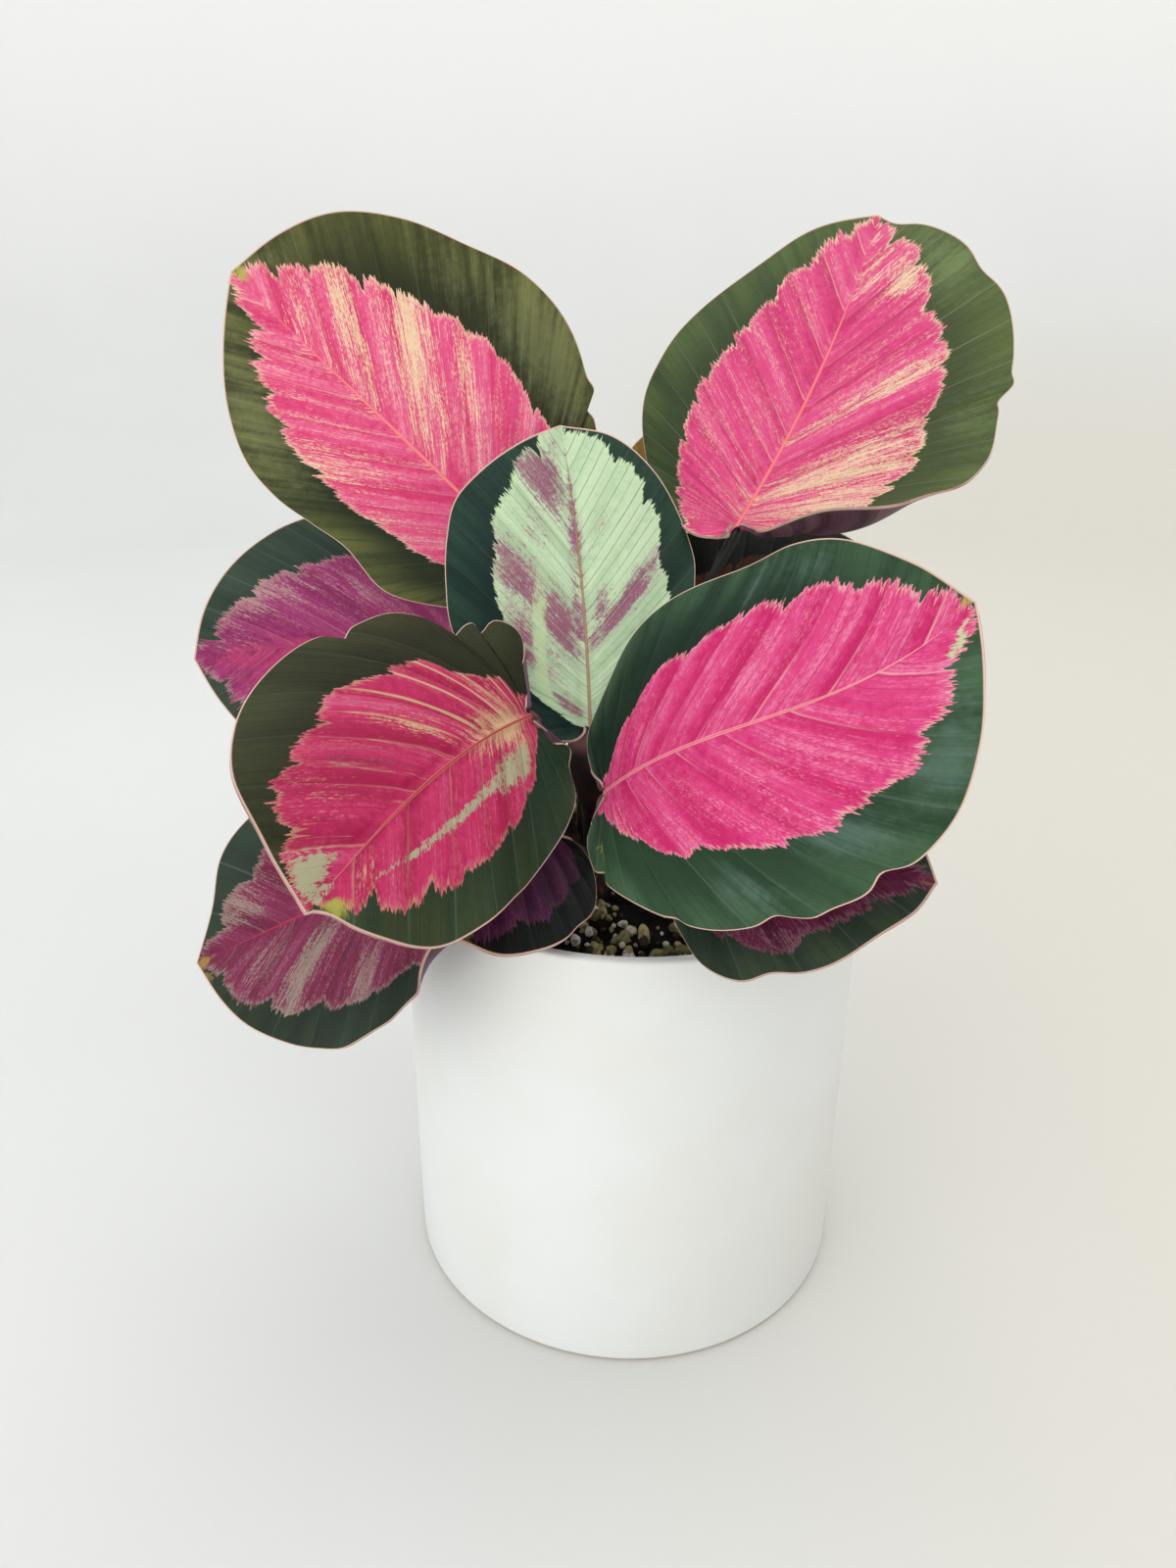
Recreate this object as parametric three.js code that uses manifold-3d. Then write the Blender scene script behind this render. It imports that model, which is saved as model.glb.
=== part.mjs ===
// Potted calathea: eleven broad leaves on stalks that rise from the soil of a plain cylinder pot.
// Millimetres, +Z up. The origin is the centre of the pot's foot, and the plant's front faces -Y.
import * as THREE from "three";
import ManifoldModule from "manifold-3d";

const manifoldLibrary = await ManifoldModule();
manifoldLibrary.setup();
const { Manifold, Mesh: ManifoldMesh } = manifoldLibrary;

// Pot
const POT_RADIUS = 75;
const POT_HEIGHT = 150;
const POT_WALL = 4;
const POT_FLOOR = 6;
const FOOT_ROUNDING = 2.5;
const RIM_ROUNDING = 1.6;
const INNER_ROUNDING = 8;
const POT_SIDES = 48;
const ROUNDING_STEPS = 3;

// Soil
const TOUCH_GAP = 0.3;
const SOIL_LEVEL = 138;
const SOIL_DOME = 4;
const SOIL_LUMP = 1.1;
const SOIL_RINGS = 6;
const SOIL_SIDES = 24;
const GRAIN_COUNT = 36;
const GRAIN_SMALLEST = 1.5;
const GRAIN_LARGEST = 2.8;
const GRAIN_CLEARANCE = 1.2;
const GRAIN_SEED = 4142;

// Leaf stalks
const SHEATH_RADIUS = 3.3;
const SHEATH_SHARE = 0.55;
const STALK_TOP_RADIUS = 1.5;
const STALK_JOINT_RADIUS = 1.9;
const STALK_FOOT_DEPTH = 122;
const STALK_STRAIGHT_TO = 147;
const STALK_SETBACK = 2.2;
const STALK_DROP = 2;
const STALK_ARRIVAL = 0.22;
const STALK_SIDES = 8;
const STALK_RINGS = 14;

// Leaf blades
const BLADE_THICKNESS = 0.7;
const MIDRIB_DEPTH = 2.4;
const MIDRIB_HALF_WIDTH = 1.8;
const NOTCH = [1, 2.8];
const VEIN_START_POWER = 1.5;
const VEIN_SWEEP_POWER = 1.3;
const EDGE_SMOOTHING_STEPS = 8;
const CROSS_STEPS = 16;
const BLADE_ROWS = 16;
const SMALL_BLADE_ROWS = 12;
const BLADE_COLUMNS = [0, null, 0.34, 0.62, 0.84, 1];

// Each leaf, with its angles in degrees:
//   base      where the blade meets its stalk
//   heading   compass direction of the midrib at the base, and how far it turns by the tip
//   rise      slope of the midrib at the base, its change by the tip, and its sag halfway
//   roll      tilt of the blade about its midrib at the base, and the twist by the tip
//   left, right  the two halves seen from base to tip: how far the half is folded up from the
//             midrib, how its cross section bends on, how far the base lobe curls over, and
//             the edge as [distance along the midrib, distance out from it]
//   ripple    height of the edge's waves, how many there are, and where they start
//   stalk     foot of the stalk in the soil, and how far the stalk bows up before the blade
const LEAVES = {
  upper_left: {
    base: [-33, 43, 231],
    length: 157,
    heading: [155, -10],
    rise: [40, -6, -2],
    roll: [-62, 0],
    left: {
      fold: 18, cup: -11,
      edge: [
        [-5, 16], [9, 30], [29, 42], [50, 41], [64, 43],
        [80, 45], [99, 43], [120, 34], [137, 21],
      ],
    },
    right: {
      fold: 18, cup: -11,
      edge: [
        [-4, 15], [2, 34], [20, 51], [41, 64], [63, 67],
        [86, 62], [109, 55], [130, 42], [145, 23],
      ],
    },
    ripple: [2, 2, 0.1],
    stalk: { foot: [-15, 8], bow: 0.4 },
  },
  upper_right: {
    base: [32, 25, 249],
    length: 149,
    heading: [52, 16],
    rise: [37, 3, 1],
    roll: [9, -5],
    left: {
      fold: 12, cup: -15,
      edge: [
        [-4, 14], [4, 31], [22, 45], [41, 53], [61, 54],
        [79, 52], [98, 46], [117, 35], [135, 21],
      ],
    },
    right: {
      fold: 16, cup: -16, curl: 110,
      edge: [
        [-6, 16], [-2, 38], [16, 57], [37, 66], [60, 63],
        [82, 61], [104, 53], [123, 39], [138, 22],
      ],
    },
    ripple: [2, 2, 0.3],
    stalk: { foot: [-1, 16], bow: 0.5 },
  },
  centre: {
    base: [-14, -23, 199],
    length: 104,
    heading: [95, 7],
    rise: [64, -20, -7],
    roll: [11, -3],
    left: {
      fold: 6, cup: -10,
      edge: [
        [-1, 7], [4, 16], [14, 30], [27, 40], [42, 42],
        [57, 41], [72, 37], [85, 27], [95, 15],
      ],
    },
    right: {
      fold: 12, cup: -17,
      edge: [
        [-3, 10], [1, 23], [14, 33], [29, 37], [42, 36],
        [56, 38], [71, 35], [86, 28], [99, 16],
      ],
    },
    ripple: [1.5, 2, 0.2],
    stalk: { foot: [-11, -2], bow: 0.35 },
  },
  front_right: {
    base: [-10, -47, 188],
    length: 113,
    heading: [-32, 38],
    rise: [46, 2, -22],
    roll: [44, 9],
    left: {
      fold: 14, cup: -19,
      edge: [
        [-2, 10], [-1, 25], [14, 38], [30, 43], [46, 45],
        [62, 44], [79, 41], [98, 33], [109, 18],
      ],
    },
    right: {
      fold: 13, cup: -20,
      edge: [
        [-7, 11], [-2, 26], [10, 40], [27, 51], [45, 54],
        [65, 53], [82, 44], [94, 30], [103, 16],
      ],
    },
    ripple: [2, 3, 0.15],
    stalk: { foot: [-3, -9], bow: 0.3 },
  },
  front_left: {
    base: [-31, -33, 206],
    length: 109,
    heading: [-122, 17],
    rise: [4, -10, -6],
    roll: [-52, 9],
    left: {
      fold: 8, cup: -16,
      edge: [
        [-4, 11], [0, 25], [16, 32], [32, 36], [45, 37],
        [57, 36], [73, 34], [89, 28], [101, 16],
      ],
    },
    right: {
      fold: 11, cup: -38,
      edge: [
        [-5, 11], [-5, 27], [11, 38], [28, 46], [44, 50],
        [61, 48], [78, 41], [94, 31], [103, 16],
      ],
    },
    ripple: [2, 3, 0.4],
    stalk: { foot: [-19, -12], bow: 0.3 },
  },
  far_left: {
    base: [-36, 40, 202],
    length: 129,
    heading: [170, -5],
    rise: [8, -21, -4],
    roll: [-73, -2],
    left: {
      fold: 10, cup: -10,
      edge: [
        [-4, 12], [3, 27], [18, 39], [35, 45], [53, 47],
        [70, 46], [87, 42], [105, 33], [119, 18],
      ],
    },
    right: {
      fold: 12, cup: -8,
      edge: [
        [-3, 9], [4, 18], [17, 29], [35, 39], [53, 47],
        [69, 45], [87, 41], [104, 32], [118, 18],
      ],
    },
    ripple: [2, 2, 0.0],
    stalk: { foot: [-22, 5], bow: 0.4 },
  },
  low_left: {
    base: [-58, -56, 166],
    length: 98,
    heading: [-200, 2],
    rise: [-18, -12, -7],
    roll: [-45, -14],
    left: {
      fold: 8, cup: -13, curl: 90,
      edge: [
        [-4, 12], [-1, 26], [8, 38], [17, 42], [33, 44],
        [48, 41], [62, 36], [76, 27], [87, 15],
      ],
    },
    right: {
      fold: 10, cup: -10,
      edge: [
        [-3, 11], [-2, 23], [5, 34], [17, 41], [33, 43],
        [47, 41], [63, 36], [77, 28], [86, 15],
      ],
    },
    ripple: [2, 2, 0.5],
    stalk: { foot: [-26, -4], bow: 0.12 },
  },
  small_dark: {
    base: [-25, -27, 166],
    length: 70,
    heading: [-110, 4],
    rise: [7, -11, 0],
    roll: [-23, -5],
    left: {
      fold: 4, cup: -13,
      edge: [
        [-1, 7], [3, 14], [11, 20], [20, 24], [28, 25],
        [37, 24], [47, 23], [57, 19], [67, 11],
      ],
    },
    right: {
      fold: 10, cup: -10,
      edge: [
        [-2, 5], [2, 11], [10, 16], [20, 18], [28, 19],
        [37, 18], [46, 17], [56, 13], [64, 8],
      ],
    },
    ripple: [1, 1.5, 0.2],
    stalk: { foot: [-10, -20], bow: 0.3 },
  },
  low_right: {
    base: [9, -54, 173],
    length: 73,
    heading: [-24, -1],
    rise: [13, -15, 0],
    roll: [38, 0],
    left: {
      fold: 10, cup: -10,
      edge: [
        [-2, 7], [0, 17], [8, 26], [18, 33], [29, 35],
        [41, 33], [53, 27], [61, 20], [67, 10],
      ],
    },
    right: {
      fold: 8, cup: -13,
      edge: [
        [-1, 7], [2, 16], [8, 25], [17, 34], [29, 37],
        [41, 33], [53, 28], [62, 21], [70, 11],
      ],
    },
    ripple: [1.5, 2, 0.1],
    stalk: { foot: [5, -12], bow: 0.3 },
  },
  shaded: {
    base: [24, 18, 214],
    length: 92,
    heading: [36, 8],
    rise: [14, -14, 0],
    roll: [34, 0],
    left: {
      fold: 10, cup: -10,
      edge: [
        [-1, 8], [5, 16], [14, 27], [26, 31], [38, 32],
        [49, 31], [61, 28], [73, 22], [84, 13],
      ],
    },
    right: {
      fold: 10, cup: -10,
      edge: [
        [-3, 9], [3, 19], [14, 27], [26, 31], [38, 32],
        [49, 31], [61, 28], [73, 22], [84, 13],
      ],
    },
    ripple: [1.5, 2, 0.6],
    stalk: { foot: [9, 2], bow: 0.3 },
  },
  yellowed: {
    base: [-2, 64, 231],
    length: 59,
    heading: [50, 6],
    rise: [56, -8, 0],
    roll: [-8, 0],
    left: {
      fold: 16, cup: -10,
      edge: [
        [-2, 5], [3, 12], [12, 15], [18, 17], [24, 17],
        [30, 17], [37, 16], [44, 13], [52, 7],
      ],
    },
    right: {
      fold: 16, cup: -10,
      edge: [
        [-2, 5], [3, 12], [12, 15], [18, 17], [24, 17],
        [30, 17], [37, 16], [44, 13], [52, 7],
      ],
    },
    ripple: [1, 1.5, 0.0],
    stalk: { foot: [-9, 17], bow: 0.4 },
  },
};

const PETIOLE_BROWN = "#5b3a2c";
const BLADE_COLOURS = {
  upper_left: "#9c4a5c",
  upper_right: "#a34f5f",
  centre: "#7f9a80",
  front_right: "#9d3d63",
  front_left: "#93405c",
  far_left: "#74405a",
  low_left: "#6d3a54",
  small_dark: "#3d2736",
  low_right: "#4c2c40",
  shaded: "#27342b",
  yellowed: "#96692a",
};

const radians = THREE.MathUtils.degToRad;

function bladeRows(leaf) {
  return leaf.length < 95 ? SMALL_BLADE_ROWS : BLADE_ROWS;
}

// Smooth curve through the edge's points, as points evenly spaced along it.
function edgeCurve(leaf, half, count) {
  const corners = [[0, 0], NOTCH, ...half.edge, [leaf.length, 0]];
  const curve = new THREE.CatmullRomCurve3(
    corners.map(([along, out]) => new THREE.Vector3(along, out, 0)),
    false,
    "catmullrom",
    0.5,
  );
  curve.arcLengthDivisions = corners.length * EDGE_SMOOTHING_STEPS;
  return curve.getSpacedPoints(count);
}

// The midrib as frames from base to tip: point, direction, left and upward.
function midribFrames(leaf, steps = 64) {
  const frames = [];
  const point = new THREE.Vector3(...leaf.base);
  let previous = null;
  for (let step = 0; step <= steps; step++) {
    const t = step / steps;
    const heading = radians(leaf.heading[0] + leaf.heading[1] * t);
    const sag = leaf.rise[2] * Math.sin(Math.PI * t);
    const rise = radians(leaf.rise[0] + leaf.rise[1] * t + sag);
    const roll = radians(leaf.roll[0] + leaf.roll[1] * t);
    const direction = new THREE.Vector3(
      Math.cos(rise) * Math.cos(heading),
      Math.cos(rise) * Math.sin(heading),
      Math.sin(rise),
    );
    const level = new THREE.Vector3(-Math.sin(heading), Math.cos(heading), 0);
    const square = direction.clone().cross(level);
    const left = level
      .clone()
      .multiplyScalar(Math.cos(roll))
      .addScaledVector(square, Math.sin(roll));
    const up = level
      .clone()
      .multiplyScalar(-Math.sin(roll))
      .addScaledVector(square, Math.cos(roll));
    if (previous) {
      const middle = direction.clone().add(previous).multiplyScalar(0.5);
      point.addScaledVector(middle, leaf.length / steps);
    }
    previous = direction;
    frames.push({ point: point.clone(), direction, left, up });
  }
  return frames;
}

function frameAt(frames, leaf, along) {
  const steps = frames.length - 1;
  const inside = THREE.MathUtils.clamp(along / leaf.length, 0, 1) * steps;
  const index = Math.min(Math.floor(inside), steps - 1);
  const blend = inside - index;
  const mix = (key) => frames[index][key].clone().lerp(frames[index + 1][key], blend);
  const beyond = along - THREE.MathUtils.clamp(along, 0, leaf.length);
  const frame = { point: mix("point"), direction: mix("direction"), left: mix("left"), up: mix("up") };
  frame.point.addScaledVector(frame.direction, beyond);
  return frame;
}

// Point of the blade on the vein that starts at fraction s of the edge, a fraction q of the way out.
function bladePoint(leaf, frames, half, side, edgePoint, s, q) {
  const veinStart = leaf.length * s ** VEIN_START_POWER;
  const along = veinStart + (edgePoint.x - veinStart) * q ** VEIN_SWEEP_POWER;
  const frame = frameAt(frames, leaf, along);
  const bendPerMm = radians(half.cup) / (0.37 * leaf.length);
  const curl = radians(half.curl ?? 0) * Math.exp(-((s / 0.2) ** 2));
  let sideways = 0;
  let upward = 0;
  const step = (edgePoint.y * q) / CROSS_STEPS;
  for (let i = 0; i < CROSS_STEPS; i++) {
    const fraction = ((i + 0.5) / CROSS_STEPS) * q;
    const slope =
      radians(half.fold) + bendPerMm * edgePoint.y * fraction + curl * fraction ** 4;
    sideways += Math.cos(slope) * step;
    upward += Math.sin(slope) * step;
  }
  const [height, waves, start] = leaf.ripple;
  const envelope = q ** 2.5 * Math.sin(Math.PI * s) ** 0.6;
  upward += height * envelope * Math.sin(2 * Math.PI * (waves * s + start + (side > 0 ? 0 : 0.37)));
  return frame.point
    .addScaledVector(frame.left, side * sideways)
    .addScaledVector(frame.up, upward);
}

// A solid blade: the same triangles above and below, closed by a strip round the edge.
function leafBlade(leaf) {
  const frames = midribFrames(leaf);
  const rows = bladeRows(leaf);
  const columns = BLADE_COLUMNS.length;
  const top = [];
  const ribDepth = [];
  const index = {};
  for (let row = 0; row <= rows; row++) {
    const s = row / rows;
    index[`0,${row},0`] = top.length;
    ribDepth.push(MIDRIB_DEPTH * (1 - 0.6 * s));
    top.push(frameAt(frames, leaf, leaf.length * s ** VEIN_START_POWER).point);
  }
  for (const side of [1, -1]) {
    const half = side > 0 ? leaf.left : leaf.right;
    const edge = edgeCurve(leaf, half, rows);
    for (let row = 1; row < rows; row++)
      for (let column = 1; column < columns; column++) {
        const q = BLADE_COLUMNS[column] ?? MIDRIB_HALF_WIDTH / edge[row].y;
        index[`${side},${row},${column}`] = top.length;
        ribDepth.push(BLADE_THICKNESS);
        top.push(bladePoint(leaf, frames, half, side, edge[row], row / rows, q));
      }
  }
  const vertexAt = (side, row, column) => {
    if (row === 0 || row === rows || column === 0) return index[`0,${row},0`];
    return index[`${side},${row},${column}`];
  };
  const faces = [];
  const rim = [];
  for (const side of [1, -1])
    for (let row = 0; row < rows; row++) {
      for (let column = 0; column < columns - 1; column++) {
        const a = vertexAt(side, row, column);
        const b = vertexAt(side, row, column + 1);
        const c = vertexAt(side, row + 1, column + 1);
        const d = vertexAt(side, row + 1, column);
        for (const face of [[a, c, b], [a, d, c]])
          if (new Set(face).size === 3)
            faces.push(side > 0 ? face : [face[0], face[2], face[1]]);
      }
      const near = vertexAt(side, row, columns - 1);
      const far = vertexAt(side, row + 1, columns - 1);
      rim.push(side > 0 ? [near, far] : [far, near]);
    }
  const normals = top.map(() => new THREE.Vector3());
  for (const [a, b, c] of faces) {
    const normal = top[b].clone().sub(top[a]).cross(top[c].clone().sub(top[a]));
    for (const corner of [a, b, c]) normals[corner].add(normal);
  }
  const bottom = top.map((point, i) =>
    point.clone().addScaledVector(normals[i].normalize(), -ribDepth[i]),
  );
  const positions = [...top, ...bottom].flatMap((point) => point.toArray());
  const below = top.length;
  const indices = faces.flat();
  for (const [a, b, c] of faces) indices.push(below + a, below + c, below + b);
  for (const [a, b] of rim) indices.push(a, b, below + b, a, below + b, below + a);
  return solidGeometry(positions, indices);
}

function solidGeometry(positions, indices) {
  const geometry = new THREE.BufferGeometry();
  geometry.setAttribute("position", new THREE.Float32BufferAttribute(positions, 3));
  geometry.setIndex(indices);
  geometry.computeVertexNormals();
  return geometry;
}

// The stalk's line: straight up out of the soil, leaning over, and in behind the midrib.
function stalkCurve(leaf) {
  const start = frameAt(midribFrames(leaf), leaf, 0);
  const end = start.point
    .clone()
    .addScaledVector(start.direction, -STALK_SETBACK)
    .addScaledVector(start.up, -STALK_DROP);
  const [x, y] = leaf.stalk.foot;
  const lip = new THREE.Vector3(x, y, STALK_STRAIGHT_TO);
  const chord = end.clone().sub(lip);
  const reach = chord.length();
  const arriving = start.direction.clone().addScaledVector(chord.normalize(), 1).normalize();
  const bend = new THREE.CubicBezierCurve3(
    lip,
    new THREE.Vector3(x, y, STALK_STRAIGHT_TO + reach * leaf.stalk.bow),
    end.clone().addScaledVector(arriving, -reach * STALK_ARRIVAL),
    end,
  );
  const foot = new THREE.Vector3(x, y, STALK_FOOT_DEPTH);
  const halfway = foot.clone().lerp(lip, 0.5);
  return new THREE.CatmullRomCurve3([foot, halfway, ...bend.getPoints(8)], false, "centripetal");
}

// A tapering round rod along a curve, thicker again over its last stretch, with flat ends.
function stalkSolid(leaf) {
  const curve = stalkCurve(leaf);
  const frames = curve.computeFrenetFrames(STALK_RINGS, false);
  const positions = [];
  const indices = [];
  for (let ring = 0; ring <= STALK_RINGS; ring++) {
    const t = ring / STALK_RINGS;
    const centre = curve.getPointAt(t);
    const joint = THREE.MathUtils.smoothstep(t, 0.84, 0.9);
    const sheath = THREE.MathUtils.smoothstep(t, SHEATH_SHARE * 0.4, SHEATH_SHARE);
    const plain = THREE.MathUtils.lerp(SHEATH_RADIUS, STALK_TOP_RADIUS, sheath);
    const radius = THREE.MathUtils.lerp(plain, STALK_JOINT_RADIUS, joint);
    for (let corner = 0; corner < STALK_SIDES; corner++) {
      const angle = (2 * Math.PI * corner) / STALK_SIDES;
      const point = centre
        .clone()
        .addScaledVector(frames.normals[ring], Math.cos(angle) * radius)
        .addScaledVector(frames.binormals[ring], Math.sin(angle) * radius);
      positions.push(...point.toArray());
    }
  }
  const at = (ring, corner) => ring * STALK_SIDES + (corner % STALK_SIDES);
  for (let ring = 0; ring < STALK_RINGS; ring++)
    for (let corner = 0; corner < STALK_SIDES; corner++) {
      const [a, b] = [at(ring, corner), at(ring, corner + 1)];
      const [c, d] = [at(ring + 1, corner + 1), at(ring + 1, corner)];
      indices.push(a, b, c, a, c, d);
    }
  for (let corner = 1; corner < STALK_SIDES - 1; corner++) {
    indices.push(at(0, 0), at(0, corner + 1), at(0, corner));
    indices.push(at(STALK_RINGS, 0), at(STALK_RINGS, corner), at(STALK_RINGS, corner + 1));
  }
  return solidGeometry(positions, indices);
}

function roundedCorner(profile, centreX, centreZ, radius, fromDegrees, toDegrees, steps = ROUNDING_STEPS) {
  for (let step = 0; step <= steps; step++) {
    const angle = radians(fromDegrees + ((toDegrees - fromDegrees) * step) / steps);
    profile.push(
      new THREE.Vector2(centreX + radius * Math.cos(angle), centreZ + radius * Math.sin(angle)),
    );
  }
}

function potSolid() {
  const inside = POT_RADIUS - POT_WALL;
  const profile = [new THREE.Vector2(0, 0)];
  roundedCorner(profile, POT_RADIUS - FOOT_ROUNDING, FOOT_ROUNDING, FOOT_ROUNDING, -90, 0);
  roundedCorner(profile, POT_RADIUS - RIM_ROUNDING, POT_HEIGHT - RIM_ROUNDING, RIM_ROUNDING, 0, 90);
  roundedCorner(profile, inside + RIM_ROUNDING, POT_HEIGHT - RIM_ROUNDING, RIM_ROUNDING, 90, 180);
  roundedCorner(profile, inside - INNER_ROUNDING, POT_FLOOR + INNER_ROUNDING, INNER_ROUNDING, 0, -90);
  profile.push(new THREE.Vector2(0, POT_FLOOR));
  return new THREE.LatheGeometry(profile, POT_SIDES).rotateX(Math.PI / 2);
}

// Height of the soil's surface: a low dome with lumps.
function soilHeight(x, y) {
  const reach = Math.hypot(x, y) / (POT_RADIUS - POT_WALL);
  const dome = SOIL_DOME * (1 - reach ** 2);
  const lumps =
    Math.sin(x * 0.31 + 1.1) * Math.cos(y * 0.27) + 0.6 * Math.sin(x * 0.13 - y * 0.41 + 0.5);
  return SOIL_LEVEL + dome + SOIL_LUMP * lumps;
}

function toManifold(geometry) {
  const vertices = new Map();
  const properties = [];
  const triangles = [];
  const position = geometry.getAttribute("position");
  const order = geometry.index ? geometry.index.array : [...Array(position.count).keys()];
  for (const corner of order) {
    const point = [position.getX(corner), position.getY(corner), position.getZ(corner)];
    const key = point.map((value) => Math.round(value * 1000)).join();
    if (!vertices.has(key)) {
      vertices.set(key, vertices.size);
      properties.push(...point);
    }
    triangles.push(vertices.get(key));
  }
  const kept = [];
  for (let i = 0; i < triangles.length; i += 3) {
    const face = triangles.slice(i, i + 3);
    if (new Set(face).size === 3) kept.push(...face);
  }
  return new Manifold(
    new ManifoldMesh({
      numProp: 3,
      vertProperties: new Float32Array(properties),
      triVerts: new Uint32Array(kept),
    }),
  );
}

function fromManifold(solid) {
  const mesh = solid.getMesh();
  const geometry = new THREE.BufferGeometry();
  const stride = mesh.numProp;
  const positions = [];
  for (const corner of mesh.triVerts)
    positions.push(...mesh.vertProperties.slice(corner * stride, corner * stride + 3));
  geometry.setAttribute("position", new THREE.Float32BufferAttribute(positions, 3));
  geometry.computeVertexNormals();
  return geometry;
}

function seededRandom(seed) {
  let state = seed;
  return () => {
    state = (state + 0x6d2b79f5) | 0;
    let mixed = Math.imul(state ^ (state >>> 15), 1 | state);
    mixed = (mixed + Math.imul(mixed ^ (mixed >>> 7), 61 | mixed)) ^ mixed;
    return ((mixed ^ (mixed >>> 14)) >>> 0) / 4294967296;
  };
}

// The soil fills the pot; grains are pressed into its top, and each stalk stands in a plain hole.
function soilSolid() {
  const bottom = POT_FLOOR + TOUCH_GAP;
  const radius = POT_RADIUS - POT_WALL - TOUCH_GAP * 2;
  const profile = [new THREE.Vector2(0, bottom)];
  roundedCorner(profile, radius - INNER_ROUNDING, bottom + INNER_ROUNDING, INNER_ROUNDING, -90, 0);
  for (let ring = 0; ring <= SOIL_RINGS; ring++)
    profile.push(new THREE.Vector2(radius * (1 - ring / SOIL_RINGS), SOIL_LEVEL));
  const filling = new THREE.LatheGeometry(profile, SOIL_SIDES).rotateX(Math.PI / 2);
  const position = filling.getAttribute("position");
  for (let i = 0; i < position.count; i++)
    if (position.getZ(i) > SOIL_LEVEL - 1)
      position.setZ(i, soilHeight(position.getX(i), position.getY(i)));
  let soil = toManifold(filling);
  const random = seededRandom(GRAIN_SEED);
  const feet = Object.values(LEAVES).map((leaf) => leaf.stalk.foot);
  const grains = [];
  while (grains.length < GRAIN_COUNT) {
    const angle = random() * 2 * Math.PI;
    const distance = radius * Math.sqrt(random()) * 0.94;
    const size = GRAIN_SMALLEST + (GRAIN_LARGEST - GRAIN_SMALLEST) * random();
    const [x, y] = [distance * Math.cos(angle), distance * Math.sin(angle)];
    const turn = random() * Math.PI;
    const clear = SHEATH_RADIUS + size + GRAIN_CLEARANCE;
    if (feet.some((foot) => Math.hypot(foot[0] - x, foot[1] - y) < clear)) continue;
    const grain = new THREE.IcosahedronGeometry(size, 0)
      .scale(1.25, 1, 0.85)
      .rotateZ(turn)
      .translate(x, y, soilHeight(x, y) - size * 0.1);
    grains.push(toManifold(grain));
  }
  soil = Manifold.union([soil, ...grains]);
  const holes = feet.map(([x, y]) =>
    Manifold.cylinder(POT_HEIGHT, SHEATH_RADIUS + TOUCH_GAP, SHEATH_RADIUS + TOUCH_GAP, 16).translate([
      x,
      y,
      STALK_FOOT_DEPTH - TOUCH_GAP,
    ]),
  );
  return fromManifold(soil.subtract(Manifold.union(holes)));
}

function namedMesh(name, geometry, colour, roughness) {
  const material = new THREE.MeshStandardMaterial({ color: colour, roughness, metalness: 0 });
  const mesh = new THREE.Mesh(geometry, material);
  mesh.name = name;
  return mesh;
}

const calathea = new THREE.Group();
calathea.name = "potted_calathea";
calathea.add(namedMesh("pot", potSolid(), "#eef0f0", 0.45));
calathea.add(namedMesh("soil", soilSolid(), "#1d1815", 0.95));
for (const [name, leaf] of Object.entries(LEAVES)) {
  calathea.add(namedMesh(`leaf_stalk_${name}`, stalkSolid(leaf), PETIOLE_BROWN, 0.55));
  calathea.add(namedMesh(`leaf_blade_${name}`, leafBlade(leaf), BLADE_COLOURS[name], 0.45));
}

export default calathea;
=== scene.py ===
import math
import random

import bpy
import numpy as np
from mathutils import Matrix, Vector, noise


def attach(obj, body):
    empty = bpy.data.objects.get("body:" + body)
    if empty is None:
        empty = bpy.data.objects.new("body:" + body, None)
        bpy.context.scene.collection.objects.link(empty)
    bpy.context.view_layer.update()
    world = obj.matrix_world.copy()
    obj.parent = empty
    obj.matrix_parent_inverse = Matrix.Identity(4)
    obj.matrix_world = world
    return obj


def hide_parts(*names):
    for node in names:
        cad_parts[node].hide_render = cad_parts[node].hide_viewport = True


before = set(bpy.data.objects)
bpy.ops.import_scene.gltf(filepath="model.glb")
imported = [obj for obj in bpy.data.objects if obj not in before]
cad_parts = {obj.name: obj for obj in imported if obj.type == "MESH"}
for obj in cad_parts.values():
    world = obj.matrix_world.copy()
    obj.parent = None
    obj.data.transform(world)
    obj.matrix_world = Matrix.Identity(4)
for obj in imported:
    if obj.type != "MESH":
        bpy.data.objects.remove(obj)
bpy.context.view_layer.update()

# Potted calathea: a white pot, its potting mix and loose grains, and eleven leaves on stalks.
# Lengths are in millimetres here and turned into metres by MM. Angles are in degrees.
MM = 0.001

# Camera: where it stands, how far it looks down, its roll, and its lens on a 36 mm sensor
CAMERA_PLACE = (-14.5, -350.0, 321.0)
CAMERA_DOWN = 23.25
CAMERA_ROLL = 0.4
CAMERA_LENS = 27.0
CAMERA_NEAR = 10.0

# Floor: pale and round, curving up into a low wall, warmer low down on the right
FLOOR_RADIUS = 1300.0
FLOOR_CURVE = 900.0
FLOOR_WALL = 900.0
FLOOR_CURVE_STEPS = 12
FLOOR_SIDES = 96
FLOOR_WELD = 0.1
FLOOR_WARM_SIDEWAYS = (-150, 300)
FLOOR_WARM_LEVELS = (0, 400)
WALL_LEVELS = (100, 900)
FLOOR_COLOUR = "#e6e7e5"
FLOOR_CLOUD = "#e3e4e2"
FLOOR_WARM = "#e1ddd2"
WALL_COLOUR = "#fbfbf9"

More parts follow.
